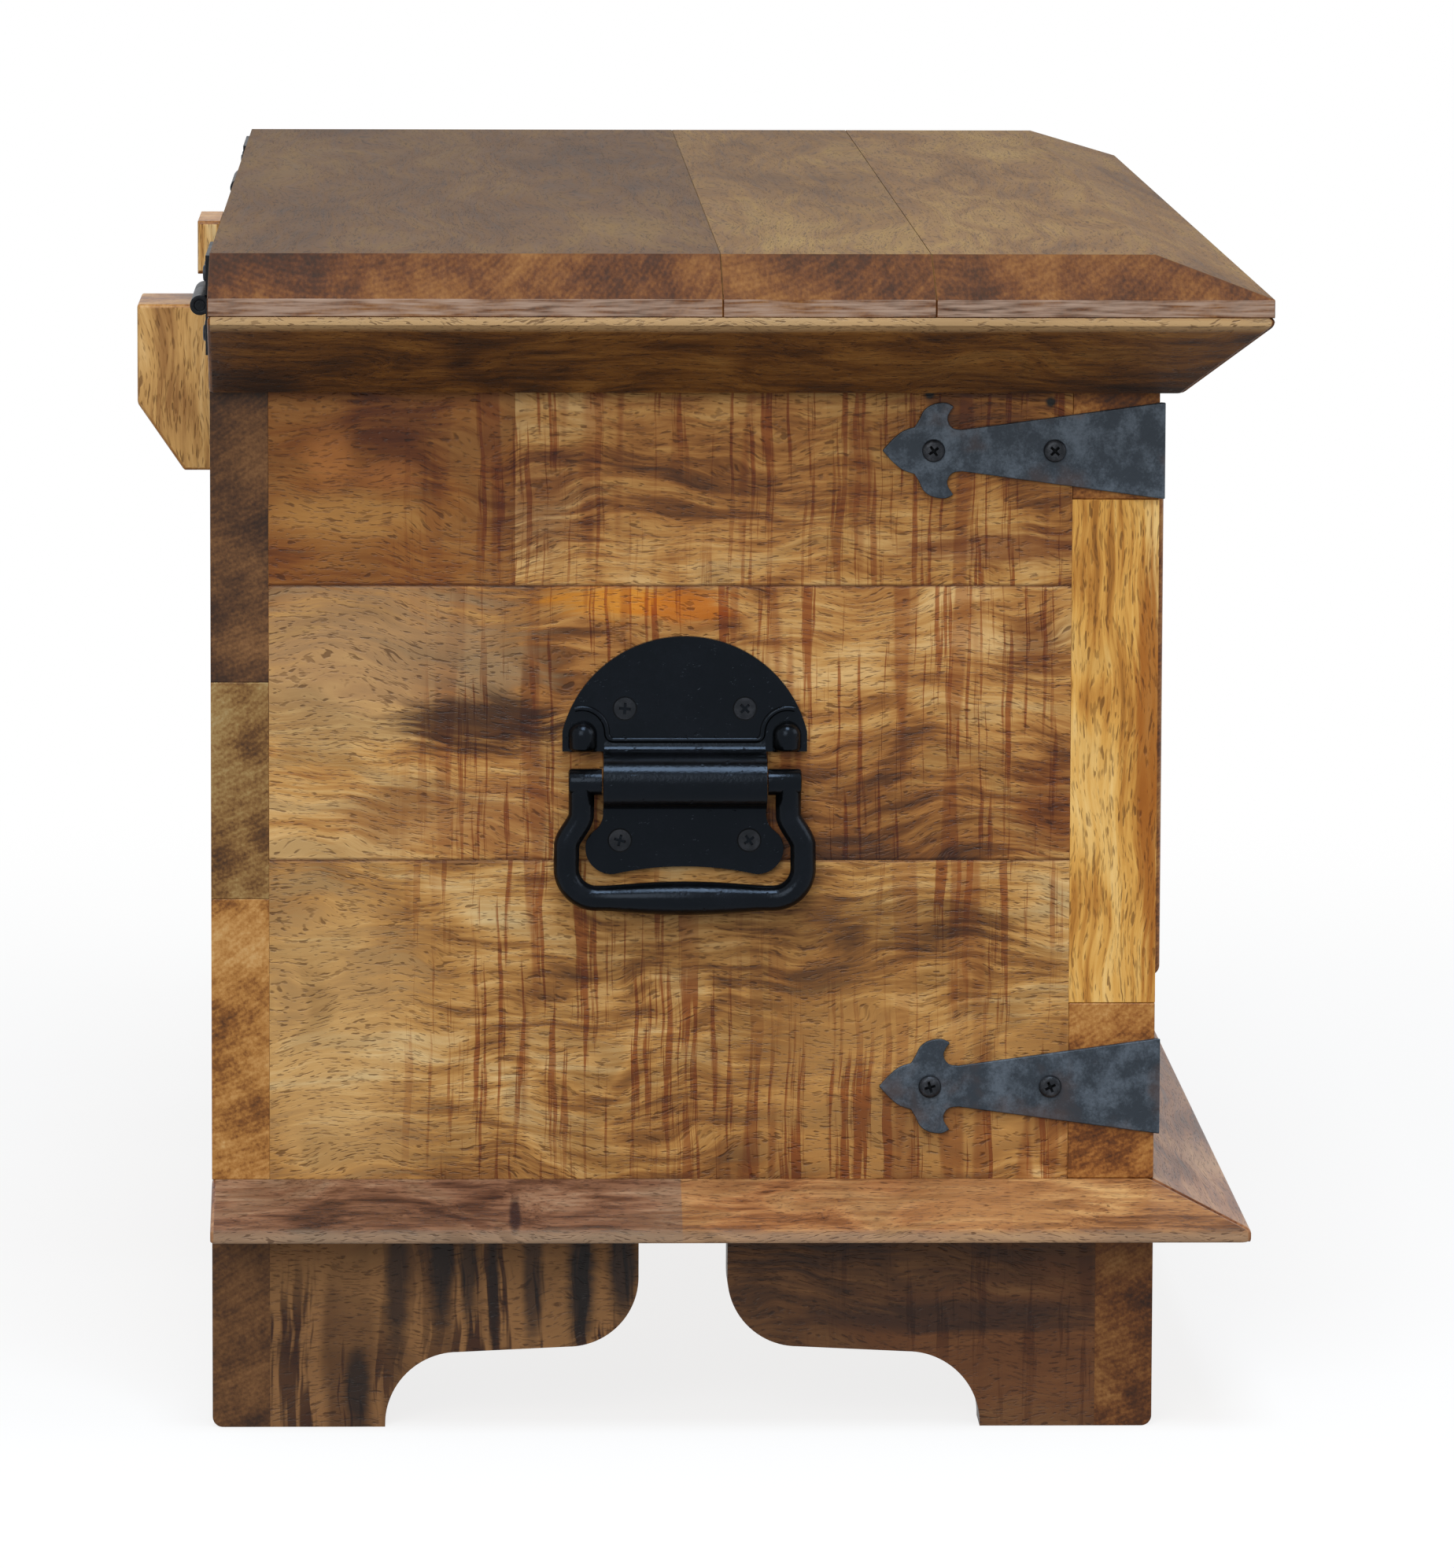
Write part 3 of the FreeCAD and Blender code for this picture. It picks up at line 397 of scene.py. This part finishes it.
# Places are millimetres along and across the grain
boardMarks = {
    "left_end_top_plank": {
        "tintAndLightStaves": [(68, 200, (0.5, 0.35, 0.22, 1)), (-200, -50, (0.92, 0.9, 0.84, 1))],
        "spots": [
            {"at": (60, 355), "size": (28, 30), "tint": (0.5, 0.4, 0.42, 1), "blend": "MULTIPLY"},
            {"at": (112, 380), "size": (34, 26), "tint": (0.42, 0.3, 0.26, 1), "blend": "MULTIPLY"},
            {"at": (128, 350), "size": (44, 14), "tint": colour(186, 136, 72), "strength": 0.6},
            {"at": (138, 372), "size": (14, 16), "tint": colour(180, 116, 58), "strength": 0.6},
            {"at": (116, 366), "size": (18, 9), "tint": colour(176, 112, 56), "strength": 0.5},
            {"at": (-110, 338), "size": (46, 9), "tint": (0.45, 0.3, 0.3, 1), "blend": "MULTIPLY"},
            # Two near-black dots for pilot holes: painted shade standing in for their hollows
            {"at": (-89, 397), "size": (2.4, 2.4), "tint": colour(12, 9, 8), "strength": 1.0, "rough": 0.05},
            {"at": (-135, 394), "size": (2.4, 2.4), "tint": colour(12, 9, 8), "strength": 1.0, "rough": 0.05},
        ],
    },
    "left_end_middle_plank": {
        "spots": [
            {"at": (130, 290), "size": (60, 34), "tint": colour(176, 142, 100), "strength": 0.6},
            {"at": (88, 270), "size": (40, 12), "tint": (0.16, 0.11, 0.1, 1), "blend": "MULTIPLY",
             "strength": 0.95},
            {"at": (30, 318), "size": (24, 7), "tint": colour(216, 138, 34), "strength": 0.75},
            {"at": (4, 316), "size": (22, 7), "tint": colour(196, 108, 18), "strength": 0.65},
            {"at": (100, 235), "size": (70, 20), "tint": colour(150, 98, 54), "strength": 0.5},
            {"at": (-128, 300), "size": (22, 16), "tint": (0.4, 0.26, 0.2, 1), "blend": "MULTIPLY"},
            {"at": (-135, 238), "size": (16, 20), "tint": (0.5, 0.32, 0.24, 1), "blend": "MULTIPLY"},
        ],
    },
    "left_end_bottom_plank": {
        "spots": [
            {"at": (140, 150), "size": (40, 60), "tint": colour(196, 156, 100), "strength": 0.55},
            {"at": (8, 190), "size": (36, 22), "tint": (0.74, 0.72, 0.7, 1), "blend": "MULTIPLY"},
            {"at": (-70, 196), "size": (60, 9), "tint": (0.64, 0.62, 0.6, 1), "blend": "MULTIPLY"},
            {"at": (-90, 132), "size": (60, 30), "tint": colour(196, 146, 82), "strength": 0.5},
        ],
    },
    "skirt_left": {
        "spots": [
            # A pale strip along the skirt's rounded top arris: painted highlight
            {"at": (-16, 426.5), "size": (420, 3.4), "tint": colour(190, 156, 112), "strength": 0.85,
             "rough": 0.2},
        ],
    },
    "foot_back_left_end": {
        "kerf": {"cut": {"pitch": 120, "until": 400, "level": 0.48}, "tint": (0.15, 0.1, 0.1, 1)},
        "contrast": 0.6,
        "spots": [
            {"at": (100, 40), "size": (130, 60), "tint": colour(158, 116, 74), "strength": 0.7, "rough": 0.3},
            {"at": (128, 16), "size": (5.5, 20), "tint": colour(44, 32, 28), "strength": 0.9, "rough": 0.4},
            {"at": (113, 58), "size": (6, 40), "tint": colour(60, 42, 32), "strength": 0.9, "rough": 0.4},
            {"at": (96, 64), "size": (6, 32), "tint": colour(44, 31, 26), "strength": 0.95, "rough": 0.4},
            {"at": (85.6, 62), "size": (4, 30), "tint": colour(52, 36, 28), "strength": 0.9, "rough": 0.4},
            {"at": (76, 56), "size": (3, 34), "tint": colour(60, 42, 32), "strength": 0.9, "rough": 0.4},
            {"at": (61, 58), "size": (5, 34), "tint": colour(60, 42, 32), "strength": 0.9, "rough": 0.4},
            {"at": (42.5, 56), "size": (7, 36), "tint": colour(40, 28, 24), "strength": 0.95, "rough": 0.4},
            {"at": (26.5, 64), "size": (7, 30), "tint": colour(40, 28, 24), "strength": 0.95, "rough": 0.4},
        ],
    },
    # The case stop is lightened all over to offset the shade under the lid: painted light
    "case_stop": {"tintAndLightStaves": [(0, 500, (1.3, 1.45, 1.75, 1))], "contrast": 0.6},
    "back_middle_plank": {"endTint": (0.6, 0.71, 0.85, 1)},
    "foot_front_left_end": {
        "kerf": {"cut": {"pitch": 190, "until": 400}, "tint": (0.6, 0.5, 0.45, 1)},
        "spots": [
            {"at": (-120, 28), "size": (70, 34), "tint": colour(128, 80, 46), "strength": 0.5},
            {"at": (-105, 43), "size": (64, 8), "tint": colour(44, 27, 20), "strength": 0.8, "rough": 0.5},
        ],
    },
    # The lid boards' tints, darker and greener at the back and greener towards the front, are a painted
    # reflection of green surroundings on the lid's top
    "lid_back_board": {"tintAndLightStaves": [(-500, 500, (0.56, 0.6, 0.44, 1))]},
    "lid_middle_board": {"tintAndLightStaves": [(-500, 500, (0.95, 1.14, 0.95, 1))]},
    "lid_front_board": {"tintAndLightStaves": [(-500, 500, (0.98, 1.16, 1, 1))]},
    "plinth_left": {
        "tintAndLightStaves": [
            (4.5, 300, (0.85, 0.92, 1.05, 1)), (-121, 4.5, (1.15, 1.06, 0.78, 1)),
            (-300, -121, (1.35, 1.36, 1, 1)),
        ],
        "spots": [
            {"at": (68, 86), "size": (2.6, 6), "tint": colour(40, 22, 24), "strength": 0.9, "rough": 0.3},
            {"at": (-110, 88), "size": (34, 9), "tint": colour(168, 118, 72), "strength": 0.6},
            {"at": (-16, 78), "size": (460, 4.4), "tint": colour(176, 148, 120), "strength": 0.6,
             "rough": 0.25},
        ],
    },
    "front_stile_left": {
        "spots": [{"at": (260, -174), "size": (120, 5), "tint": colour(150, 84, 22), "strength": 0.8}],
    },
}
# Rounded edges in millimetres: the first that fits a name holds
roundings = {
    "_board": 0.5, "_plank": 0.35, "lid_": 1.4, "skirt_": 1.4, "plinth_": 1.6, "foot_": 1.4, "case_stop": 1.5,
    "handle_plate": 1.0, "hinge_": 0.4,
}
# Angles are degrees: an edge is rounded, or kept sharp, where its faces turn by more
edgeLook = {"rounding": 0.7, "weld": 0.01, "segments": 3, "turn": 28, "lidTurn": 8, "sharp": 40}


# Round a piece's edges by a width in millimetres
def soften(piece, width, turn=edgeLook["turn"]):
    weld = piece.modifiers.new("weld", "WELD")
    weld.merge_threshold = edgeLook["weld"] * mm
    bevel = piece.modifiers.new("bevel", "BEVEL")
    bevel.width = width * mm
    bevel.segments = edgeLook["segments"]
    bevel.limit_method = "ANGLE"
    bevel.angle_limit = math.radians(turn)
    normals = piece.modifiers.new("normals", "WEIGHTED_NORMAL")
    normals.keep_sharp = False


# Give a CAD node its material and rounded edges
def dress(name, material):
    piece = nodes[name]
    piece.data.materials.clear()
    piece.data.materials.append(material)
    width = next((size for part, size in roundings.items() if part in name), edgeLook["rounding"])
    soften(piece, width, edgeLook["lidTurn" if name.startswith("lid_") else "turn"])


seed = 0
for palette, grain, names in boardGroups:
    for name in names.split():
        seed += 1
        marks = dict(planks) if "_end_" in name and "plank" in name else {}
        marks.update(lidBoards if name.startswith("lid_") and "board" in name else {})
        marks.update(boardMarks.get(name, {}))
        dress(name, Board(name, grain, seed).paint(palette, **marks))
for name in nodes:
    if name.startswith("handle_plate"):
        dress(name, irons["blackIron"])
    elif name.startswith("hinge_"):
        dress(name, irons["hingeSteel"])
print("boards and ironwork dressed")


# A new piece of the object, from a mesh in metres
def newPiece(name, mesh, body, slot, *materials):
    bmesh.ops.recalc_face_normals(mesh, faces=mesh.faces)
    data = bpy.data.meshes.new(name)
    mesh.to_mesh(data)
    mesh.free()
    for face in data.polygons:
        face.use_smooth = True
    for material in materials:
        data.materials.append(irons[material])
    data.set_sharp_from_angle(angle=math.radians(edgeLook["sharp"]))
    piece = bpy.data.objects.new(name, data)
    scene.collection.objects.link(piece)
    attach(piece, body)
    return piece


# Rings of points joined into a skin, with both ends closed
def skin(mesh, rings):
    made = [[mesh.verts.new(point) for point in ring] for ring in rings]
    for here, there in zip(made, made[1:]):
        for side in range(len(here)):
            after = (side + 1) % len(here)
            mesh.faces.new((here[side], here[after], there[after], there[side]))
    for ring in (made[0][::-1], made[-1]):
        mesh.faces.new(ring)


def circle(centre, first, second, radius, sides):
    turns = [2 * math.pi * side / sides for side in range(sides)]
    return [centre + (first * math.cos(turn) + second * math.sin(turn)) * radius for turn in turns]


# A rod along a path of (y, z, heading in degrees, radius) in millimetres from its origin
def rod(mesh, origin, path, sides):
    rings = []
    for y, z, heading, radius in path:
        angle = math.radians(heading)
        across = Vector((0, -math.sin(angle), math.cos(angle)))
        rings.append(circle(origin + Vector((0, y, z)) * mm, Vector((1, 0, 0)), across, radius * mm, sides))
    skin(mesh, rings)


# Drop handle: millimetres, the bail's from the pivot and the relief's from level with it on the plate
handleShape = {"pivot": (418.4, 3.5, 250), "plateFace": 413, "barrelRadius": 10.3}
bailShape = {
    "bar": 4.9, "armHalf": 39.3, "armDrop": 12, "armEnd": 3, "elbowHalf": 45, "elbowDrop": 25, "corner": 11.5,
    "gripDrop": 44.5, "grip": 6.5, "gripHalf": 30, "swell": 1.3, "sides": 28, "turns": 14,
    "collar": 5.1, "collarFrom": 31.6, "collarInset": 0.5, "lip": 1.0, "lipMiddle": 0.3,
}


# Half of the bail, from its arm at the barrel to the middle of the grip
def bailPath(shape):
    bar = shape["bar"]
    half = shape["armHalf"]
    drop = shape["armDrop"]
    path = [(half, 0, -90, bar), (half, shape["armEnd"] - drop, -90, bar)]
    shift = shape["elbowHalf"] - half
    fall = shape["elbowDrop"] - drop
    for step in range(1, shape["turns"]):
        share = step / shape["turns"]
        ease = share * share * (3 - 2 * share)
        slope = 6 * share * (1 - share) * shift / fall
        path.append((half + shift * ease, -drop - fall * share, math.degrees(math.atan2(-1, slope)), bar))
    hub = (shape["elbowHalf"] - shape["corner"], shape["corner"] - shape["gripDrop"])
    for step in range(shape["turns"] + 1):
        turn = 90 * step / shape["turns"]
        aside = shape["corner"] * math.cos(math.radians(turn))
        below = shape["corner"] * math.sin(math.radians(turn))
        path.append((hub[0] + aside, hub[1] - below, -90 - turn, bar))
    for step in range(shape["turns"] + 1):
        share = 1 - step / shape["turns"]
        radius = bar + (shape["grip"] - bar) * (1 - share * share) ** shape["swell"]
        path.append((shape["gripHalf"] * share, -shape["gripDrop"], -180, radius))
    return path


def buildBail(side, hand):
    shape = bailShape
    reach, middle, level = handleShape["pivot"]
    pivot = Vector((side * reach, middle, level)) * mm
    half = bailPath(shape)
    mesh = bmesh.new()
    mirrored = [(-y, z, -360 - heading, radius) for y, z, heading, radius in reversed(half[:-1])]
    rod(mesh, pivot, half + mirrored, shape["sides"])
    tip = shape["armHalf"] + shape["bar"]
    profile = [
        (shape["collarFrom"], shape["collarInset"]), (shape["collarFrom"], 0), (tip - shape["lip"], 0),
        (tip - shape["lipMiddle"], shape["lipMiddle"]), (tip, shape["lip"]),
    ]
    for way, heading in ((-1, 180), (1, 0)):
        path = [(way * y, 0, heading, shape["collar"] - inset) for y, inset in profile]
        rod(mesh, pivot, path, shape["sides"])
    piece = newPiece("bail_" + hand, mesh, hand + "_bail", "black_iron", "blackIron")
    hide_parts("handle_bail_" + hand)


# Cast relief on the plate: a bullet nub on each ear, a bead from ear to ear, and a saddle above the barrel
reliefShape = {
    "nubHalf": 38.8, "nubBottom": 11.3, "nubTop": 22.8, "nubRadius": 5.5, "nubDepth": 1.06, "nubSides": 28,
    "nubFoot": [(0, 0.72), (0.5, 0.9), (1.4, 1)], "nubTip": 0.05, "archHalf": 39.2, "archLevel": 18,
    "archRadius": 9.6, "archFrom": 106, "turnRadius": 2.6, "bead": 1.15, "saddle": 5.0, "saddleHalf": 30.6,
    "saddleBelow": 2, "saddleInto": 0.6, "sides": 16, "steps": 12,
}


def addNub(mesh, origin, shape):
    length = shape["nubTop"] - shape["nubBottom"]
    dome = shape["nubRadius"]
    profile = [(rise, dome * share) for rise, share in shape["nubFoot"]]
    for step in range(shape["steps"]):
        turn = math.pi / 2 * step / shape["steps"]
        profile.append((length - dome + dome * math.sin(turn), dome * math.cos(turn)))
    profile.append((length, shape["nubTip"]))
    depth = Vector((shape["nubDepth"], 0, 0))
    width = Vector((0, 1, 0))
    rings = []
    for rise, radius in profile:
        centre = origin + Vector((0, 0, rise)) * mm
        rings.append(circle(centre, depth, width, radius * mm, shape["nubSides"]))
    skin(mesh, rings)


# From one ear's top over its arch, down and along above the barrel, then mirrored
def beadPath(shape):
    path = []
    for step in range(shape["steps"] + 1):
        turn = shape["archFrom"] * (1 - step / shape["steps"])
        aside = shape["archRadius"] * math.cos(math.radians(turn))
        above = shape["archRadius"] * math.sin(math.radians(turn))
        path.append((aside - shape["archHalf"], shape["archLevel"] + above, turn - 90, shape["bead"]))
    start = (path[-1][0] + shape["turnRadius"], path[-1][1])
    for step in range(1, shape["steps"] + 1):
        turn = 180 + 90 * step / shape["steps"]
        aside = shape["turnRadius"] * math.cos(math.radians(turn))
        above = shape["turnRadius"] * math.sin(math.radians(turn))
        path.append((start[0] + aside, start[1] + above, turn + 90 - 360, shape["bead"]))
    return path + [(-y, z, -heading, radius) for y, z, heading, radius in reversed(path)]


def buildRelief(side, hand):
    shape = reliefShape
    _, middle, level = handleShape["pivot"]
    face = Vector((side * handleShape["plateFace"], middle, level)) * mm
    mesh = bmesh.new()
    for way in (-1, 1):
        addNub(mesh, face + Vector((0, way * shape["nubHalf"], shape["nubBottom"])) * mm, shape)
    rod(mesh, face, beadPath(shape), shape["sides"])
    saddle = shape["saddle"]
    top = handleShape["barrelRadius"] + saddle
    profile = []
    for step in range(shape["steps"] + 1):
        turn = -math.pi / 2 * step / shape["steps"]
        profile.append((-saddle + saddle * math.cos(turn), top + saddle * math.sin(turn)))
    bottom = top - saddle - shape["saddleBelow"]
    profile += [(-saddle, bottom), (shape["saddleInto"], bottom), (shape["saddleInto"], top)]
    ends = []
    for way in (-1, 1):
        aside = way * shape["saddleHalf"]
        ends.append([face + Vector((-side * x, aside, z)) * mm for x, z in profile])
    skin(mesh, ends)
    newPiece("plateRelief_" + hand, mesh, "case", "black_iron", "blackIron")


for side, hand in ((-1, "left"), (1, "right")):
    buildBail(side, hand)
    buildRelief(side, hand)
print("handles built")

# Straps: half of the outline in smooth runs, as distance from the corner and height over the middle
strapShape = {
    "runs": [
        [(0, 18.35), (77, 7.9)],
        [(77, 7.9), (80.4, 8.4), (82.3, 10.4), (82.6, 13.2), (80.4, 16.8)],
        [(80.4, 16.8), (83.6, 18.2), (88.2, 17.6), (91.6, 15.4), (93.4, 11.9), (95.2, 8.9)],
        [(95.2, 8.9), (99.6, 7.4), (103.6, 4.2), (107.4, 0)],
    ],
    "thickness": 2.0, "steps": 5, "edge": 0.45,
}


# Points along a smooth curve through a run of corners
def smoothRun(run, steps):
    if len(run) < 3:
        return run[:-1]
    ends = [run[0]] + list(run) + [run[-1]]
    points = []
    for before, start, end, after in zip(ends, ends[1:], ends[2:], ends[3:]):
        for step in range(steps):
            share = step / steps
            points.append(tuple(
                0.5 * (2 * b + (c - a) * share + (2 * a - 5 * b + 4 * c - d) * share ** 2
                       + (3 * b - a - 3 * c + d) * share ** 3)
                for a, b, c, d in zip(before, start, end, after)
            ))
    return points


def buildStrap(level, side, hand):
    low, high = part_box(f"{level}_strap_{hand}")
    corner = Vector((low.x if side < 0 else high.x, low.y, (low.z + high.z) / 2))
    half = [point for run in strapShape["runs"] for point in smoothRun(run, strapShape["steps"])]
    outline = half + [strapShape["runs"][-1][-1]] + [(reach, -height) for reach, height in reversed(half)]
    inward = Vector((-side, 0, 0))
    backward = Vector((0, 1, 0))
    mesh = bmesh.new()
    for along, into in ((backward, inward), (inward, backward)):
        sheets = []
        for depth in (0, strapShape["thickness"]):
            sheets.append([mesh.verts.new(
                corner + (along * max(reach, depth) + into * depth + Vector((0, 0, height))) * mm
            ) for reach, height in outline])
        for number in range(len(outline) - 1):
            after = number + 1
            mesh.faces.new((sheets[0][number], sheets[0][after], sheets[1][after], sheets[1][number]))
        for sheet in sheets:
            mesh.faces.new(sheet)
    bmesh.ops.remove_doubles(mesh, verts=mesh.verts, dist=edgeLook["weld"] * mm)
    piece = newPiece(f"{level}Strap_{hand}", mesh, "case", "strap_iron", "strapIron")
    soften(piece, strapShape["edge"])
    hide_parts(f"{level}_strap_{hand}")


for side, hand in ((-1, "left"), (1, "right")):
    for level in ("upper", "lower"):
        buildStrap(level, side, hand)
print("straps built")

# Screws: the profile runs from the rim inwards as shares of the radius and levels in millimetres
screwShapes = {
    "strap": {
        "radius": 4.35, "steel": "screwSteel",
        "profile": [(1, -0.3), (1, 0.5), (0.97, 1.0), (0.9, 1.5), (0.76, 1.9), (0.6, 2.1)],
    },
    "handle": {
        "radius": 4.4, "steel": "plateScrewSteel",
        "profile": [(1.08, -0.2), (1.06, 0.1), (0.97, 0.02), (0.94, 0.22), (0.6, 0.3)],
    },
    "hinge": {
        "radius": 3.2, "steel": "screwSteel",
        "profile": [(1, -0.3), (1, 0.4), (0.94, 0.8), (0.8, 1.1), (0.58, 1.2)],
    },
}
# The cross recess, in shares of the radius but for its depth; each screw is turned on from the one before
crossShape = {"reach": 0.5, "half": 0.115, "depth": 1.0, "taper": 0.55, "sides": 40, "spin": 0.7}


def crossPoints(reach, half):
    quarter = [(reach, -half), (reach, half), (half, half)]
    points = []
    for turn in range(4):
        for x, y in quarter:
            for _ in range(turn):
                x, y = -y, x
            points.append((x, y))
    return points


def addScrew(mesh, centre, outward, shape, spin):
    first = outward.orthogonal().normalized()
    second = outward.cross(first)

    def point(x, y, level):
        turned = (x * math.cos(spin) - y * math.sin(spin), x * math.sin(spin) + y * math.cos(spin))
        flat = first * turned[0] + second * turned[1]
        return mesh.verts.new(centre + (flat * shape["radius"] + outward * level) * mm)

    def join(outer, inner, material):
        for side in range(len(outer)):
            after = (side + 1) % len(outer)
            mesh.faces.new((outer[side], outer[after], inner[after], inner[side])).material_index = material

    rings = []
    for share, level in shape["profile"]:
        turns = [2 * math.pi * side / crossShape["sides"] for side in range(crossShape["sides"])]
        rings.append([point(share * math.cos(turn), share * math.sin(turn), level) for turn in turns])
    for (share, _), outer, inner in zip(shape["profile"], rings, rings[1:]):
        join(outer, inner, 1 if share > 1 else 0)  # what lies outside the head is the countersink rim, near-black: painted shade
    top = shape["profile"][-1][1]
    mouth = [point(x, y, top) for x, y in crossPoints(crossShape["reach"], crossShape["half"])]
    small = crossPoints(crossShape["reach"] * crossShape["taper"], crossShape["half"] * crossShape["taper"])
    floor = [point(x, y, top - crossShape["depth"]) for x, y in small]
    edges = []
    for loop in (rings[-1], mouth):
        for one, other in zip(loop, loop[1:] + loop[:1]):
            edges.append(mesh.edges.get((one, other)) or mesh.edges.new((one, other)))
    bmesh.ops.triangle_fill(mesh, edges=edges, use_beauty=True)
    # The cross recess's walls and floor take the near-black recess material: painted shade
    join(mouth, floor, 1)
    mesh.faces.new(floor).material_index = 1


def buildScrews(name, kind, places, body):
    mesh = bmesh.new()
    for number, (place, outward) in enumerate(places):
        addScrew(mesh, Vector(place), Vector(outward), screwShapes[kind], crossShape["spin"] * number)
    newPiece(name, mesh, body, "screw_steel", screwShapes[kind]["steel"], "recessPaintedShade")


# Screw places: along a strap from its corner, round the handle's pivot, and along a hinge leaf
screwPlaces = {
    "strap": (42, 88), "handle": ((22.8, 27.4), (24.6, -23)), "leafEdge": 7.6, "leafFace": 185.5,
    "leafShares": (1 / 6, 3 / 6, 5 / 6),
}
strapPlaces = []
handlePlaces = []
for side, hand in ((-1, "left"), (1, "right")):
    for level in ("upper", "lower"):
        low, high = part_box(f"{level}_strap_{hand}")
        face = low.x if side < 0 else high.x
        middle = (low.z + high.z) / 2
        for reach in screwPlaces["strap"]:
            strapPlaces.append(((face, low.y + reach * mm, middle), (side, 0, 0)))
            strapPlaces.append(((face - side * reach * mm, low.y, middle), (0, -1, 0)))
    for half, above in screwPlaces["handle"]:
        for way in (-1, 1):
            _, middle, level = handleShape["pivot"]
            place = Vector((side * handleShape["plateFace"], middle + way * half, level + above)) * mm
            handlePlaces.append((place, (side, 0, 0)))
buildScrews("strapScrews", "strap", strapPlaces, "case")
buildScrews("handleScrews", "handle", handlePlaces, "case")
for body in ("case", "lid"):
    places = []
    for hand in ("left", "right"):
        low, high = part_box(f"hinge_{body}_leaf_{hand}")
        inset = screwPlaces["leafEdge"] * mm
        level = low.z + inset if body == "case" else high.z - inset
        for share in screwPlaces["leafShares"]:
            place = (low.x + (high.x - low.x) * share, screwPlaces["leafFace"] * mm, level)
            places.append((place, (0, 1, 0)))
    buildScrews(body + "HingeScrews", "hinge", places, body)
print("screws built")

# Stage: a pale floor that fades into white, with soft light from above, the camera's side and the front
floorShape = {
    "half": 14, "fadeFrom": 0.5, "fadeTo": 1.5, "lift": 0.82, "glow": 0.3, "pale": colour(250, 250, 250),
    "cloud": colour(246, 246, 247), "cloudShare": 0.3, "cloudNoise": (3.0, 3.0),
    "bounce": colour(150, 145, 140), "roughness": 0.9, "specular": 0.1,
}


def buildFloor():
    shader = Shader("floorPaint")
    x, y, _ = shader.place()
    seen = shader.seenRays()
    clouds = shader.noise(shader.join(x, y, 0), *floorShape["cloudNoise"])
    white = shader.mix(clouds * floorShape["cloudShare"], floorShape["pale"], floorShape["cloud"])
    paint = shader.mix(seen, floorShape["bounce"], white)
    shader.finish(
        Base_Color=paint, Roughness=floorShape["roughness"], Specular_IOR_Level=floorShape["specular"],
    )
    glow = shader.node("Emission", {}, {"Strength": seen * (1 - floorShape["glow"]) + floorShape["glow"]})
    reach = shader.rise((x ** 2 + y ** 2) ** 0.5, floorShape["fadeFrom"], floorShape["fadeTo"])
    far = reach * (1 - floorShape["lift"]) + floorShape["lift"]
    both = shader.node("MixShader", {}, {0: far, 1: Wire(shader, shader.surface.outputs[0]), 2: glow})
    shader.plug(shader.tree.nodes["Material Output"].inputs["Surface"], both)
    mesh = bmesh.new()
    bmesh.ops.create_grid(mesh, x_segments=2, y_segments=2, size=floorShape["half"])
    data = bpy.data.meshes.new("floor")
    mesh.to_mesh(data)
    mesh.free()
    data.materials.append(shader.material)
    floor = bpy.data.objects.new("floor", data)
    scene.collection.objects.link(floor)


buildFloor()
studioShape = {"light": 0.45, "tint": (1, 1, 1, 1)}
scene.world = bpy.data.worlds.new("studio")
scene.world.use_nodes = True
studio = Graph(scene.world.node_tree)
background = studio.tree.nodes["Background"]
strength = studio.seenRays() * (1 - studioShape["light"]) + studioShape["light"]
studio.plug(background.inputs["Strength"], strength)
studio.plug(background.inputs["Color"], studioShape["tint"])

lights = {
    "overhead": {
        "at": (-1.5, -0.1, 2.4), "aim": (-0.4, 0, 0.3), "size": 0.85, "power": 42, "tint": (0.76, 0.88, 1),
    },
    "camera": {
        "at": (-3.4, 0.9, 1.7), "aim": (-0.4, 0, 0.25), "size": 1.8, "power": 45, "tint": (1, 0.97, 0.92),
    },
    "front": {"at": (-1.0, -2.8, 1.7), "aim": (0, 0, 0.25), "size": 1.6, "power": 20, "tint": (1, 1, 1)},
}
for name, setting in lights.items():
    data = bpy.data.lights.new(name, "AREA")
    data.size = setting["size"]
    data.energy = setting["power"]
    data.color = setting["tint"]
    lamp = bpy.data.objects.new(name, data)
    lamp.location = setting["at"]
    lamp.rotation_mode = "QUATERNION"
    lamp.rotation_quaternion = (Vector(setting["aim"]) - Vector(setting["at"])).to_track_quat("-Z", "Y")
    scene.collection.objects.link(lamp)

# Camera: the photograph's place at the left end, from a little above the lid
cameraShape = {
    "at": (-4.1519, 0.0938, 0.7118), "yaw": 1.63, "pitch": 7.06, "roll": 0.2, "lens": 227.6, "sensor": 36,
    "clip": 60,
}
yaw, pitch, roll = (math.radians(cameraShape[key]) for key in ("yaw", "pitch", "roll"))
forward = Vector((math.cos(pitch) * math.cos(yaw), -math.cos(pitch) * math.sin(yaw), -math.sin(pitch)))
level = Vector((-math.sin(yaw), -math.cos(yaw), 0))
upright = level.cross(forward)
rightward = level * math.cos(roll) + upright * math.sin(roll)
upward = upright * math.cos(roll) - level * math.sin(roll)
lens = bpy.data.cameras.new("camera")
lens.lens = cameraShape["lens"]
lens.sensor_width = cameraShape["sensor"]
lens.clip_end = cameraShape["clip"]
camera = bpy.data.objects.new("camera", lens)
turned = Matrix((rightward, upward, -forward)).transposed()
camera.matrix_world = Matrix.Translation(cameraShape["at"]) @ turned.to_4x4()
scene.collection.objects.link(camera)
scene.camera = camera
scene.view_settings.view_transform = "Standard"
print("stage set")
